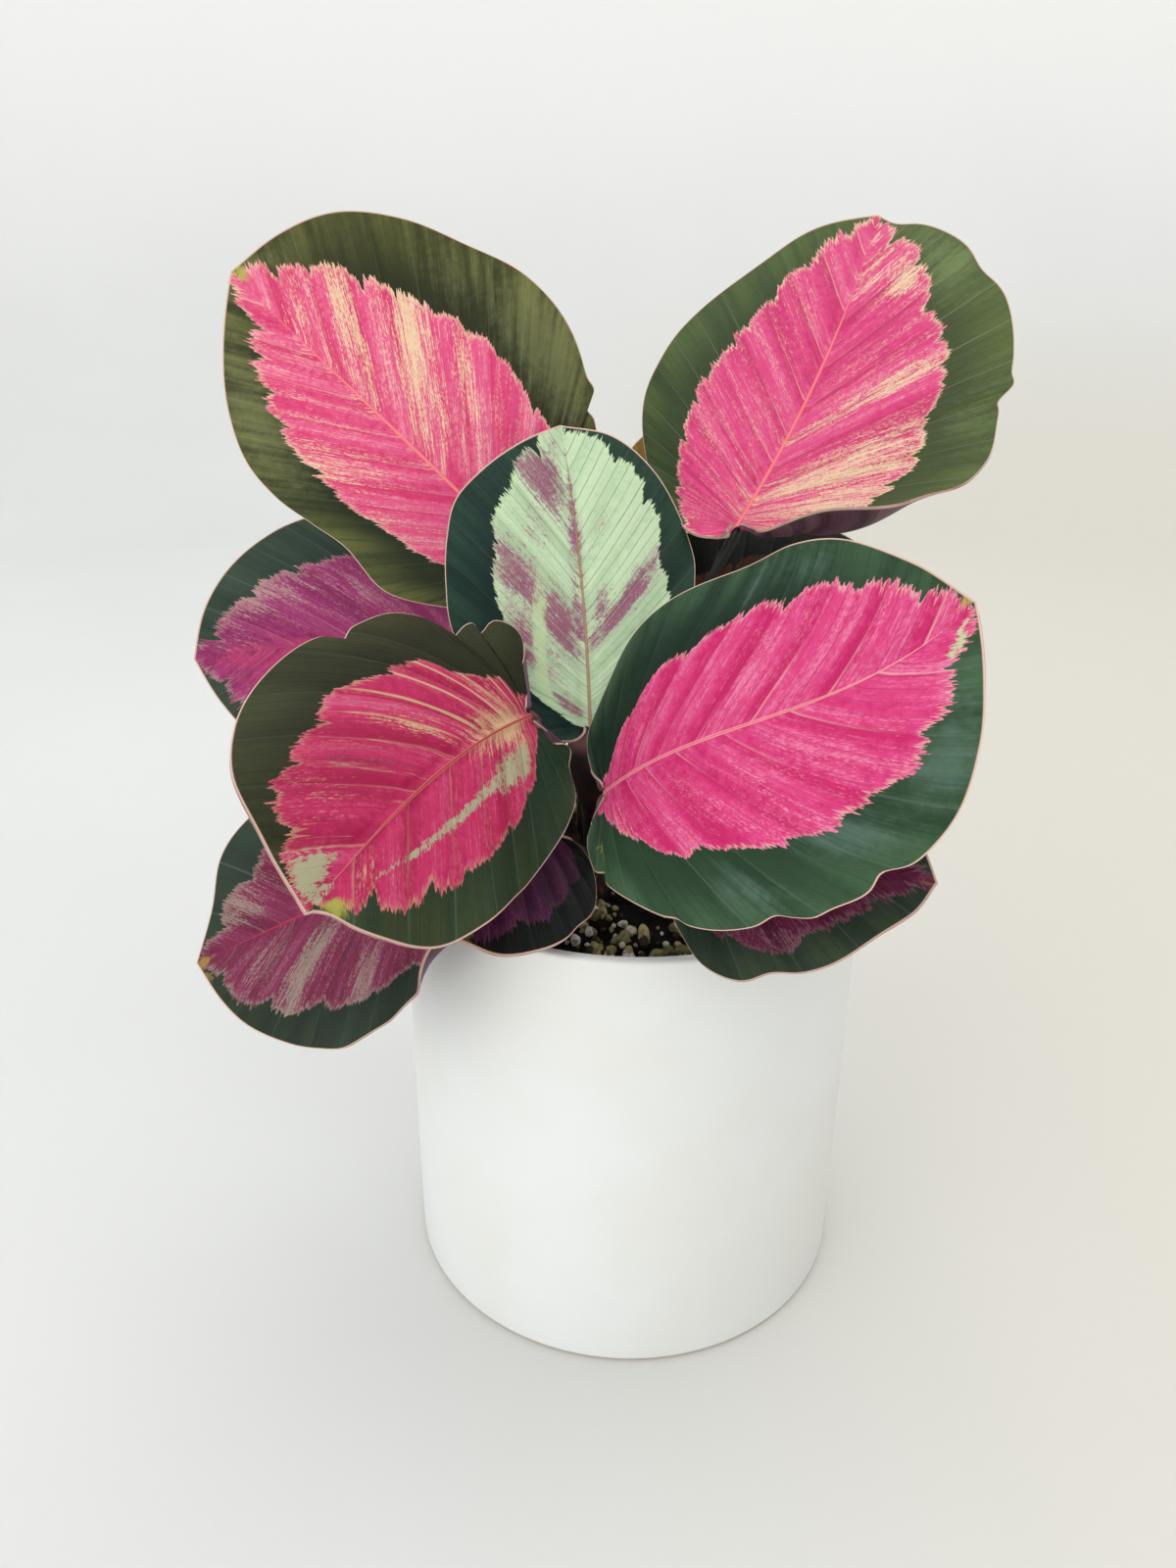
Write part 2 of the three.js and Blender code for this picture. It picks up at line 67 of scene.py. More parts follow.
# Lamps: where each stands, what it aims at, its width, its power and its tint
LAMPS = {
    "key": ((-1150, -1200, 380), (0, 0, 130), 1700, 9.5, "#fffdf8"),
    "fill": ((-560, -1000, 90), (-30, -60, 110), 500, 1.5, "#ffffff"),
    "top": ((100, 200, 1700), (0, 0, 180), 1400, 5, "#ffffff"),
}
SKY_TINT = "#fbfcff"
SKY_STRENGTH = 0.975

# Pot
POT_RADIUS = 75.0
POT_HEIGHT = 150.0
POT_WALL = 4.0
POT_FLOOR = 6.0
POT_SIDES = 160
FOOT_ROUNDING = 2.5
FLOOR_CORNER_ROUNDING = 2.25
RIM_ROUNDING = 1.6
ROUNDING_STEPS = 6
FOOT_BARE_LEVELS = (0.6, 2.0)

# Potting mix: a low dome with lumps and crumbs, and a skirt down the inside of the pot
MIX_LEVEL = 138.0
MIX_DOME = 4.0
MIX_LUMP = 1.1
MIX_CRUMB = 1.1
CRUMBS_PER_MM = 0.55
MIX_GAP = 0.6
MIX_RINGS = 64
MIX_SIDES = 180
MIX_SKIRT = 0.08
MIX_WELD = 0.02

# Loose grains on the mix: small ones are commoner, and they gather in patches
GRAIN_COUNT = 1800
GRAIN_SEED = 4142
GRAIN_RADII = (0.6, 2.5)
GRAIN_SMALL_BIAS = 2.6
GRAIN_CLUSTER = 0.055
GRAIN_CROWDING = 2.2
GRAIN_SPREAD = 0.35
GRAIN_CLEARANCE = 0.7
GRAIN_SHAPE = (1.2, 1.0, 0.8, 1.0)
GRAIN_BUMPS = 0.3
GRAIN_RISE = 0.35
STONE_KINDS = 3

# Leaf stalks: a stout sheath below, a thin neck above, and a joint that swells at the blade
SHEATH_RADIUS = 3.3
SHEATH_SHARE = 0.55
SHEATH_TAPER = 0.33
STALK_TOP_RADIUS = 1.5
STALK_JOINT_RADIUS = 1.9
STALK_ROUNDNESS = 6
STALK_FOOT_DEPTH = 122.0
STALK_STRAIGHT_TO = 147.0
STALK_SETBACK = 2.2
STALK_DROP = 2.0
STALK_ARRIVAL = 0.22
STALK_UNDER_RIB = (1.5, 4.5)
STALK_END_RADII = (1.7, 1.0)
FOOT_POINTS = 6
BEND_POINTS = 33
FIBRE_STRETCH = (1, 1, 0.12)
SHEATH_BROWN_LEVELS = (148, 166)

# Shares of the stalk's own length over which it swells, turns pink, takes its painted shade and widens
JOINT_SPAN = (0.84, 0.9)
JOINT_PINK_SPAN = (0.88, 0.94)
SHADE_SPAN = (0.3, 0.5)
WING_SPAN = (0.5, 0.9)

# Leaf blades: the mesh, the raised midrib with a groove on each side, and its keel below
HALF_COLUMNS = 40
COLUMN_CROWDING = 0.4
COLUMN_POWER = 2.2
ROWS_PER_MM = 1.7
MIDRIB_STEPS = 64
EDGE_SMOOTHING_STEPS = 16
CROSS_STEPS = 20
BLADE_THICKNESS = 0.6
BLADE_WELD = 0.01
NOTCH = (1, 2.8)
VEIN_START_POWER = 3.2
VEIN_SWEEP_POWER = 1.08
CUP_SPAN = 0.37
RIPPLE_SHIFT = 0.37
RIPPLE_OUTWARD = 2.5
RIPPLE_ONWARD = 0.6
WAVE_LIFT = 0.35
WAVE_OUTWARD = 4
WAVE_FREE_BASE = 0.02
WAVE_FREE_TIP = 0.01
RIB_HEIGHT = 0.35
RIB_BASE_RADIUS = 0.7
RIB_TIP_RADIUS = 0.35
RIB_START = 0.05
RIB_END = (2, 24)
RIB_LEAST = 0.05
RIB_FADE = 0.5
RIB_FADE_SPAN = (0.45, 0.95)
GROOVE_OUT = 2.2
GROOVE_WIDTH = 1.2
RIB_BLEND = 4.0
MIDRIB_DEPTH = 2.4
MIDRIB_HALF_WIDTH = 1.8
KEEL_ROUNDING = 0.8
KEEL_TAPER = 0.6

# Leaf pattern: length of an edge against the midrib, and spacings counted along the edge
EDGE_RATIO = 1.3
QUILT_RATIO = 1.25
QUILT_SPACING = 13.0
QUILT_HEIGHT = 1.2
QUILT_BENDS = (0.35, 1.0)
QUILT_ROUNDING = 0.8
QUILT_SINK = 0.6
QUILT_INWARD = 0.7
QUILT_FROM = 0.12
QUILT_TO = 0.85
LOBE_SPACING = 15.0
LOBE_RISE = 4.5
LOBE_RISES = (0.3, 1.0)
LOBE_SHIFT = 0.3
TOOTH_STEEPNESS = 3.5
TOOTH_ROUNDING = 0.6
TOOTH_FALL = 0.35
TOOTH_FALL_POWER = 8
TOOTH_SINK = 0.7
TEETH_FROM = (0.05, 0.2)
LATERAL_SPACING = 3.1
FAN_SPACING = 8.5

# Kinds of marks on the blades, and how sharply each kind ends. The sheen marks are painted highlights on
# the green.
MARK_KINDS = {"cream": 2, "fan": 2, "pale": 4, "blush": 2, "straw": 2, "painted_sheen": 2}

# How far out the pink reaches, as a share of the half's width, at twelve laterals from base to tip
PINK_STATIONS = (0.06, 0.14, 0.22, 0.3, 0.38, 0.46, 0.54, 0.62, 0.7, 0.78, 0.86, 0.93)
PINK_USUAL = (0.08, 0.12, 0.2, 0.33, 0.45, 0.56, 0.63, 0.68, 0.71, 0.74, 0.76, 0.72)
NO_PINK = (0,) * 12

# Each leaf:
#   base      where the blade meets its stalk
#   heading   compass direction of the midrib at the base, and how far it turns by the tip
#   rise      slope of the midrib at the base, its change by the tip, and its sag halfway
#   roll      tilt of the blade about its midrib at the base, and the twist by the tip
#   ripple    height of the blade's waves, how many there are, and where they start
#   foot, bow   the stalk's foot in the mix, and how far the stalk bows up before the blade
#   sheath    radius of the stalk's sheath, how far up it reaches, and how much wider it fans
#   shade     how much painted shade lies over the upper stalk
#   left, right   the two halves seen from base to tip:
#     fold, cup   how far the half is folded up from the midrib, and how its cross section bends
#     curl      how far the base lobe rolls over, until where, over what share, and how late
#     edge      points of the edge as (distance along the midrib, distance out from it)
#     pink      how far out the coloured middle reaches at PINK_STATIONS
#     waves     small waves of the edge as (place, half width, push outwards)
LEAVES = {
    "upper_left": dict(
        base=(-33, 43, 231), length=157, heading=(155, -10), rise=(40, -6, -2), roll=(-62, 0),
        ripple=(2, 2, 0.1), foot=(-15, 8), bow=0.4,
        left=dict(
            fold=18, cup=-11,
            edge=(
                (-5, 16), (9, 30), (29, 42), (50, 41), (64, 43), (80, 45), (99, 43), (120, 34), (137, 21),
            ),
            pink=(0.08, 0.12, 0.2, 0.33, 0.6, 0.62, 0.66, 0.67, 0.71, 0.72, 0.71, 0.61),
        ),
        right=dict(
            fold=18, cup=-11,
            edge=(
                (-4, 15), (2, 34), (20, 51), (41, 64), (63, 67), (86, 62), (109, 55), (130, 42), (145, 23),
            ),
            pink=(0.08, 0.12, 0.2, 0.5, 0.56, 0.58, 0.68, 0.68, 0.69, 0.7, 0.73, 0.73),
            waves=((0.27, 0.01, -2.2), (0.291, 0.012, 1.6)),
        ),
    ),
    "upper_right": dict(
        base=(32, 25, 249), length=149, heading=(52, 16), rise=(37, 3, 1), roll=(9, -5),
        ripple=(2, 2, 0.3), foot=(-1, 16), bow=0.5, shade=1.0,
        left=dict(
            fold=12, cup=-15,
            edge=(
                (-4, 14), (4, 31), (22, 45), (41, 53), (61, 54), (79, 52), (98, 46), (117, 35), (135, 21),
            ),
            pink=(1.03, 0.76, 0.63, 0.61, 0.6, 0.63, 0.67, 0.68, 0.7, 0.73, 0.73, 0.77),
            waves=((0.045, 0.04, 8.0),),
        ),
        right=dict(
            fold=16, cup=-16, curl=(135, 0.25, 0.12, 4),
            edge=(
                (-6, 16), (-2, 38), (16, 57), (37, 66), (60, 63), (82, 61), (104, 53), (123, 39), (138, 22),
            ),
            pink=(1.1, 1.05, 0.9, 0.65, 0.66, 0.71, 0.68, 0.71, 0.7, 0.68, 0.73, 0.68),
            waves=(
                (0.06, 0.03, -2.5), (0.243, 0.039, 9.0), (0.508, 0.012, -1.2), (0.54, 0.015, 1.8),
                (0.76, 0.04, -2.0), (0.96, 0.03, -1.6),
            ),
        ),
    ),
    "centre": dict(
        base=(-14, -23, 199), length=104, heading=(95, 7), rise=(64, -20, -7), roll=(11, -3),
        ripple=(1.5, 2, 0.2), foot=(-11, -2), bow=0.35, sheath=(4.8, 1.12, 1.7),
        left=dict(
            fold=6, cup=-10,
            edge=(
                (-1, 7), (4, 16), (14, 30), (27, 40), (42, 42), (57, 41), (72, 37), (85, 27), (95, 15),
            ),
            pink=(0.0, 0.2, 0.4, 0.51, 0.5, 0.55, 0.67, 0.67, 0.75, 0.77, 0.84, 0.88),
            waves=((0.1, 0.07, 5.5),),
        ),
        right=dict(
            fold=12, cup=-17,
            edge=(
                (-3, 10), (1, 23), (14, 33), (29, 37), (42, 36), (56, 38), (71, 35), (86, 28), (99, 16),
            ),
            pink=(0.08, 0.25, 0.4, 0.5, 0.6, 0.68, 0.73, 0.68, 0.82, 0.83, 0.84, 0.8),
        ),
    ),
    "front_right": dict(
        base=(-10, -47, 188), length=113, heading=(-32, 38), rise=(46, 2, -22), roll=(44, 9),
        ripple=(2, 3, 0.15), foot=(-3, -9), bow=0.3,
        left=dict(
            fold=14, cup=-19,
            edge=(
                (-2, 10), (-1, 25), (14, 38), (30, 43), (46, 45), (62, 44), (79, 41), (98, 33), (109, 18),
            ),
            pink=(0.08, 0.12, 0.1, 0.12, 0.34, 0.55, 0.61, 0.71, 0.7, 0.75, 0.78, 0.8),
        ),
        right=dict(
            fold=13, cup=-20,
            edge=(
                (-7, 11), (-2, 26), (10, 40), (27, 51), (45, 54), (65, 53), (82, 44), (94, 30), (103, 16),
            ),
            pink=(0.08, 0.29, 0.24, 0.37, 0.47, 0.59, 0.6, 0.71, 0.72, 0.77, 0.78, 0.7),
            waves=(
                (0.203, 0.012, -2.0), (0.35, 0.012, -0.8), (0.494, 0.018, -1.8), (0.54, 0.015, 1.0),
                (0.627, 0.018, -2.9),
            ),
        ),
    ),
    "front_left": dict(
        base=(-31, -33, 206), length=109, heading=(-122, 17), rise=(4, -10, -6), roll=(-52, 9),
        ripple=(2, 3, 0.4), foot=(-19, -12), bow=0.3,
        left=dict(
            fold=8, cup=-16,
            edge=(
                (-4, 11), (0, 25), (16, 32), (32, 36), (45, 37), (57, 36), (73, 34), (89, 28), (101, 16),
            ),
            pink=(0.08, 0.12, 0.15, 0.24, 0.45, 0.56, 0.65, 0.66, 0.7, 0.7, 0.74, 0.66),
            waves=((0.071, 0.012, -3.5), (0.1, 0.02, 3.0), (0.97, 0.03, -2.0)),
        ),
        right=dict(
            fold=11, cup=-38,
            edge=(
                (-5, 11), (-5, 27), (11, 38), (28, 46), (44, 50), (61, 48), (78, 41), (94, 31), (103, 16),
            ),
            pink=(0.08, 0.12, 0.2, 0.31, 0.3, 0.53, 0.58, 0.7, 0.7, 0.76, 0.82, 0.85),
            waves=(
                (0.155, 0.04, 5.0), (0.2, 0.01, -4.5), (0.252, 0.02, -6.0), (0.335, 0.055, 4.4),
                (0.43, 0.018, -3.8),
            ),
        ),
    ),
    "far_left": dict(
        base=(-36, 40, 202), length=129, heading=(170, -5), rise=(8, -21, -4), roll=(-73, -2),
        ripple=(2, 2, 0.0), foot=(-22, 5), bow=0.4,
        left=dict(
            fold=10, cup=-10,
            edge=(
                (-4, 12), (3, 27), (18, 39), (35, 45), (53, 47), (70, 46), (87, 42), (105, 33), (119, 18),
            ),
            pink=(0.08, 0.12, 0.2, 0.33, 0.45, 0.56, 0.63, 0.68, 0.71, 0.76, 0.84, 0.79),
        ),
        right=dict(
            fold=12, cup=-8,
            edge=(
                (-3, 9), (4, 18), (17, 29), (35, 39), (53, 47), (69, 45), (87, 41), (104, 32), (118, 18),
            ),
            pink=(0.08, 0.12, 0.2, 0.33, 0.45, 0.56, 0.63, 0.68, 0.73, 0.74, 0.77, 0.75),
        ),
    ),
    "low_left": dict(
        base=(-58, -56, 166), length=98, heading=(-200, 2), rise=(-18, -12, -7), roll=(-45, -14),
        ripple=(2, 2, 0.5), foot=(-26, -4), bow=0.12,
        left=dict(
            fold=8, cup=-13, curl=(185, 0.21, 0.03, 7),
            edge=(
                (-4, 12), (-1, 26), (8, 38), (17, 42), (33, 44), (48, 41), (62, 36), (76, 27), (87, 15),
            ),
            pink=(1, 0.94, 0.77, 0.68, 0.73, 0.73, 0.76, 0.73, 0.8, 0.81, 0.81, 0.72),
            waves=((0.133, 0.09, 13.0),),
        ),
        right=dict(
            fold=10, cup=-10,
            edge=(
                (-3, 11), (-2, 23), (5, 34), (17, 41), (33, 43), (47, 41), (63, 36), (77, 28), (86, 15),
            ),
            pink=(0.08, 0.12, 0.2, 0.33, 0.45, 0.56, 0.63, 0.68, 0.71, 0.68, 0.82, 0.69),
        ),
    ),
    "small_dark": dict(
        base=(-25, -27, 166), length=70, heading=(-110, 4), rise=(7, -11, 0), roll=(-23, -5),
        ripple=(1, 1.5, 0.2), foot=(-10, -20), bow=0.3,
        left=dict(
            fold=4, cup=-13,
            edge=(
                (-1, 7), (3, 14), (11, 20), (20, 24), (28, 25), (37, 24), (47, 23), (57, 19), (67, 11),
            ),
            pink=(0.08, 0.12, 0.3, 0.5, 0.59, 0.6, 0.64, 0.68, 0.72, 0.66, 0.64, 0.64),
        ),
        right=dict(
            fold=10, cup=-10,
            edge=(
                (-2, 5), (2, 11), (10, 16), (20, 18), (28, 19), (37, 18), (46, 17), (56, 13), (64, 8),
            ),
            pink=PINK_USUAL,
        ),
    ),
    "low_right": dict(
        base=(9, -54, 173), length=73, heading=(-24, -1), rise=(13, -15, 0), roll=(38, 0),
        ripple=(1.5, 2, 0.1), foot=(5, -12), bow=0.3,
        left=dict(
            fold=10, cup=-10,
            edge=(
                (-2, 7), (0, 17), (8, 26), (18, 33), (29, 35), (41, 33), (53, 27), (61, 20), (67, 10),
            ),
            pink=PINK_USUAL,
        ),
        right=dict(
            fold=8, cup=-13,
            edge=(
                (-1, 7), (2, 16), (8, 25), (17, 34), (29, 37), (41, 33), (53, 28), (62, 21), (70, 11),
            ),
            pink=(0.08, 0.12, 0.2, 0.4, 0.55, 0.69, 0.8, 0.82, 0.75, 0.75, 0.7, 0.6),
            waves=((0.53, 0.05, -2.0), (0.8, 0.12, -1.6)),
        ),
    ),
    "shaded": dict(
        base=(24, 18, 214), length=92, heading=(36, 8), rise=(14, -14, 0), roll=(34, 0),
        ripple=(1.5, 2, 0.6), foot=(9, 2), bow=0.3,
        left=dict(
            fold=10, cup=-10,
            edge=(
                (-1, 8), (5, 16), (14, 27), (26, 31), (38, 32), (49, 31), (61, 28), (73, 22), (84, 13),
            ),
            pink=(0.25, 0.35, 0.45, 0.56, 0.6, 0.62, 0.64, 0.6, 0.5, 0.45, 0.4, 0.35),
            waves=((0.27, 0.11, 8.0),),
        ),
        right=dict(
            fold=10, cup=-10,
            edge=(
                (-3, 9), (3, 19), (14, 27), (26, 31), (38, 32), (49, 31), (61, 28), (73, 22), (84, 13),
            ),
            pink=(0.05, 0.08, 0.12, 0.2, 0.3, 0.36, 0.4, 0.42, 0.42, 0.42, 0.4, 0.35),
        ),
    ),
    "yellowed": dict(
        base=(-2, 64, 231), length=59, heading=(50, 6), rise=(56, -8, 0), roll=(-8, 0),
        ripple=(1, 1.5, 0.0), foot=(-9, 17), bow=0.4,
        left=dict(
            fold=16, cup=-10,
            edge=(
                (-2, 5), (3, 12), (12, 15), (18, 17), (24, 17), (30, 17), (37, 16), (44, 13), (52, 7),
            ),
            pink=NO_PINK,
        ),
        right=dict(
            fold=16, cup=-10,
            edge=(
                (-2, 5), (3, 12), (12, 15), (18, 17), (24, 17), (30, 17), (37, 16), (44, 13), (52, 7),
            ),
            pink=NO_PINK,
        ),
    ),
}

# Colours of each leaf, and the marks that are its own:
#   greens    the green rim of the left half and of the right half
#   rim       the glow of the green towards the margin
#   pink, deep, light, cream   the coloured middle: its body, its darker bands, its paler bands,
#             and the streaks that have lost their colour. The bands are partly the middle's own uneven
#             colour and partly painted shade in the creases and painted light on the fold crests
#   vein, lines   colour of the fine laterals over the middle, and how clearly they show
#   rib, rib_width   the midrib's core and its two sides, and how wide it is for its kind
#   grain     how much cream speckle lies in the middle, and how much of its edge is bleached
#   crease    how pale the main laterals are in the middle, and how far out in mm they stay so
#   quilt     how high the folds between the main laterals stand, where they are not the usual
#   sheen, straw, pale   the leaf's own colours for these marks, where they are not the usual; the sheen is a painted highlight
#   marks     patches on the blade: cream, pale, fan and blush over the middle, painted sheen and straw
#             over the green. Each is (s, v, reach along, reach across, strength, lean, taper),
#             where s and v are the blade's own measures, and lean and taper may be left off.
LOOKS = {
    "upper_left": dict(
        greens=("#29311f", "#2e321c"), rim="#7c7f45", painted_sheen="#979a66",
        pink="#df5484", deep="#d2386e", light="#f2a0b4", cream="#ead8ac",
        vein="#f3a3ab", rib=("#f0967e", "#e86c80"), rib_width=1.4, lines=0.3,
        grain=(0.5, 0.6), crease=(0.35, 30),
        marks=dict(
            cream=(
                (0.82, -0.45, 0.03, 0.5, 0.9), (0.7, -0.5, 0.045, 0.42, 1.15, -0.1),
                (0.595, -0.45, 0.03, 0.28, 0.7), (0.66, 0.6, 0.045, 0.3, 0.8),
                (0.5, 0.55, 0.05, 0.2, 0.45), (0.9, -0.1, 0.06, 0.5, 0.35),
            ),
            straw=((0.99, -0.7, 0.02, 0.6, 1.0),),
            painted_sheen=(
                (0.42, -0.84, 0.13, 0.2, 1.2), (0.74, 0.86, 0.14, 0.2, 1.1),
                (0.62, -0.86, 0.06, 0.14, 0.5), (0.93, -0.85, 0.05, 0.15, 0.7),
            ),
        ),
    ),
    "upper_right": dict(
        greens=("#354527", "#414d2a"), rim="#697b42", painted_sheen="#8ca268",
        pink="#d6447c", deep="#c32d68", light="#e2799c", cream="#e6d6ac",
        vein="#e9a9b0", rib=("#ee8c78", "#e0607a"), rib_width=1.4, lines=0.25,
        grain=(0.45, 0.7), crease=(0.4, 28),
        marks=dict(
            cream=(
                (0.645, -0.42, 0.022, 0.42, 1.0, -0.1), (0.46, -0.42, 0.075, 0.5, 1.1, -0.1),
                (0.34, -0.45, 0.08, 0.5, 1.0), (0.85, -0.58, 0.04, 0.14, 1.1),
                (0.93, -0.3, 0.05, 0.35, 0.6), (0.2, -0.5, 0.08, 0.5, 0.9),
                (0.42, 0.4, 0.06, 0.2, 0.3),
            ),
            painted_sheen=((0.82, -0.86, 0.08, 0.16, 0.9), (0.5, -0.88, 0.08, 0.14, 0.6)),
        ),
    ),
    "centre": dict(
        greens=("#152a26", "#1b2e25"), rim="#33523f",
        pink="#bfd6b0", deep="#acc6a0", light="#d3e3c6", cream="#cfe0ae",
        vein="#4f7459", rib=("#a3965c", "#9c5466"), lines=0.9,
        grain=(0.3, 0.5), crease=(0.35, 30),
        marks=dict(
            blush=(
                (0.885, 0.55, 0.06, 0.4, 1.0), (0.85, 0.02, 0.09, 0.1, 0.9),
                (0.765, 0.5, 0.05, 0.2, 0.5), (0.815, -0.28, 0.02, 0.2, 0.5),
                (0.64, 0.47, 0.07, 0.3, 1.05), (0.62, 0.2, 0.09, 0.18, 1.1),
                (0.48, 0.44, 0.09, 0.22, 1.0), (0.69, 0.05, 0.08, 0.07, 0.9),
                (0.33, 0.15, 0.07, 0.14, 1.0), (0.63, -0.36, 0.04, 0.36, 1.1),
                (0.68, -0.16, 0.04, 0.12, 0.8),
            ),
            pale=((0.47, 0.35, 0.22, 0.05, 0.95, 0.05),),
        ),
    ),
    "front_right": dict(
        greens=("#1d3125", "#29412d"), rim="#4f7050",
        pink="#d4417c", deep="#c32666", light="#e888ae", cream="#edc6ba",
        vein="#a52c60", rib=("#d8587e", "#efb4a2"), lines=0.55,
        grain=(0.2, 0.5), crease=(0.5, 20),
        marks=dict(
            pale=((0.945, -0.64, 0.016, 0.1, 0.95), (0.972, -0.56, 0.012, 0.08, 0.7)),
            cream=((0.35, -0.35, 0.03, 0.16, 0.6),),
            straw=((0.2, -0.72, 0.03, 0.1, 0.6), (0.99, 0.8, 0.016, 0.3, 1.0)),
            painted_sheen=(
                (0.665, -0.78, 0.05, 0.12, 1.0), (0.5, -0.84, 0.05, 0.14, 0.8),
                (0.704, 0.87, 0.05, 0.1, 0.8), (0.6, 0.85, 0.02, 0.14, 0.8),
                (0.8, -0.88, 0.1, 0.14, 0.9),
            ),
        ),
    ),
    "front_left": dict(
        greens=("#263c2b", "#2a2d1b"), rim="#474e2c", pale="#aab08c",
        pink="#c43363", deep="#ab2450", light="#d4668c", cream="#d8c792",
        vein="#8c1c44", rib=("#a82a3a", "#d0806e"), lines=0.35,
        grain=(0.14, 0.34), crease=(0.25, 22), quilt=1.25,
        marks=dict(
            pale=(
                (0.48, 0.3, 0.1, 0.11, 1.1, 0.1), (0.66, 0.35, 0.22, 0.055, 1.05, 0.45, 0.6),
                (0.948, -0.6, 0.03, 0.3, 1.1), (0.975, -0.2, 0.014, 0.6, 0.85),
            ),
            fan=((0.4, -0.3, 0.26, 0.36, 1.1), (0.62, -0.2, 0.1, 0.2, 0.6)),
            cream=(
                (0.5, 0.0, 0.14, 0.12, 1.3), (0.42, 0.2, 0.07, 0.12, 1.0),
                (0.42, -0.18, 0.06, 0.25, 0.6), (0.66, -0.25, 0.03, 0.25, 0.6),
                (0.84, -0.6, 0.07, 0.25, 0.2), (0.9, 0.4, 0.05, 0.3, 0.25),
            ),
            straw=((0.96, 0.72, 0.022, 0.26, 1.4),),
            blush=((0.77, -0.42, 0.03, 0.25, 0.6),),
        ),
    ),
    "far_left": dict(
        greens=("#313f34", "#2c3d35"), rim="#465641",
        pink="#98336a", deep="#85285a", light="#b05c86", cream="#b99a94",
        vein="#c2708f", rib=("#b24468", "#a63e68"), lines=0.3,
        grain=(0.4, 0.6), crease=(0.3, 26),
        marks=dict(
            cream=(
                (0.8, -0.7, 0.09, 0.2, 0.9), (0.69, -0.5, 0.04, 0.25, 0.5),
                (0.93, -0.3, 0.05, 0.4, 0.3),
            ),
            blush=((0.9, 0.15, 0.1, 0.5, 0.85), (0.72, 0.05, 0.08, 0.2, 0.6)),
        ),
    ),
    # its own colours, darkened partly as painted shade from the leaves above
    "low_left": dict(
        greens=("#1f2a23", "#2a3732"), rim="#36442e", straw="#9a8040",
        pink="#782648", deep="#661c3b", light="#8c4668", cream="#988a7e",
        vein="#b87488", rib=("#c22c48", "#9c3056"), lines=0.3,
        grain=(0.6, 0.7), crease=(0.35, 24),
        marks=dict(
            cream=(
                (0.7, 0.52, 0.04, 0.42, 1.2), (0.46, 0.6, 0.05, 0.25, 1.0),
                (0.86, -0.65, 0.08, 0.3, 0.9), (0.84, 0.4, 0.04, 0.3, 0.6),
            ),
            straw=((0.95, 0.9, 0.03, 0.12, 0.8), (0.985, 0.3, 0.015, 0.9, 1.0)),
        ),
    ),
    # its own dark colours, darkened further as painted shade from the leaves above
    "small_dark": dict(
        greens=("#060d0c", "#080f0e"), rim="#101812",
        pink="#4a1d3c", deep="#391530", light="#663654", cream="#7c5468",
        vein="#5e3050", rib=("#7c4a62", "#5e3050"), lines=0.3,
        grain=(0.2, 0.2), crease=(0.3, 20),
        marks=dict(
            straw=((0.975, 0.3, 0.02, 0.9, 0.5),),
        ),
    ),
    "low_right": dict(
        greens=("#363f34", "#28352d"), rim="#4a573e", straw="#84643a",
        pink="#642241", deep="#531a35", light="#7e445c", cream="#8c6c74",
        vein="#84425c", rib=("#a04460", "#7e3050"), lines=0.3,
        grain=(0.5, 0.5), crease=(0.3, 20),
        marks=dict(
            cream=((0.63, -0.75, 0.05, 0.12, 0.8),),
            straw=((0.988, -0.5, 0.014, 0.4, 0.7),),
        ),
    ),
    # its pink and green darkened as painted shade, as they look in the shade of the leaves above
    "shaded": dict(
        greens=("#0d150e", "#0d150e"), rim="#1e2a18",
        pink="#5b3626", deep="#452c1e", light="#684a35", cream="#7c5a48",
        vein="#4a2a22", rib=("#6c3c2c", "#5a3226"), lines=0.2,
        grain=(0.1, 0.1), crease=(0.2, 12),
        marks={},
    ),
    "yellowed": dict(
        greens=("#a88436", "#987430"), rim="#6e4a26",
        pink="#a8843a", deep="#8c6c2c", light="#b8964a", cream="#c0a05a",
        vein="#7c5a28", rib=("#a07c40", "#8c6832"), lines=0.3,
        grain=(0.1, 0.1), crease=(0.2, 12),
        marks={},
    ),
}

# Colours shared by the leaves
BLUSH = {"centre": "#8c3a68", "front_left": "#8e2048", "far_left": "#b53a68"}
PALE = "#b9cf9f"
STRAW = "#a9ac4c"
# painted sheen: a highlight painted over the green in patches
PAINTED_SHEEN = "#6f8a80"
MARGIN = "#dcbaa9"
RIM_BROWN = "#b58f83"
RIM_SHADE = "#9c7468"
UNDERSIDE = "#4a2f3c"
UNDERSIDE_LIGHT = "#6a4c58"
UNDERSIDE_RIB = "#7c5a52"

# Colours of the stalks
STALK_DARK = "#1b1515"
STALK_RED = "#382224"
# painted shade over the upper stalk
STALK_SHADE = "#11130e"
JOINT_PINK = "#73494c"
SHEATH_DARK = "#33281f"
SHEATH_BROWN = "#64492f"

# Colours of the pot, the potting mix and its grains
CERAMIC = "#e8ebeb"
CERAMIC_WARM = "#e5e6e2"
CERAMIC_SPECK = "#b9b2a4"
FOOT_BARE = "#cfc6b6"
MIX_DARK = "#070605"
MIX_BROWN = "#15110d"
MIX_DUST = "#46392b"
GRAIN_TONES = ("#8f8a5c", "#b9ad7c", "#d8d2b8", "#6f6a44", "#e9e6dc", "#3a3022", "#a39a6a")
GRAIN_DIRT = "#3d3424"


def colour(text):
    """A hex colour as linear red, green, blue and alpha."""
    parts = [int(text[i:i + 2], 16) / 255 for i in (1, 3, 5)]
    return tuple(c / 12.92 if c <= 0.04045 else ((c + 0.055) / 1.055) ** 2.4 for c in parts) + (1.0,)


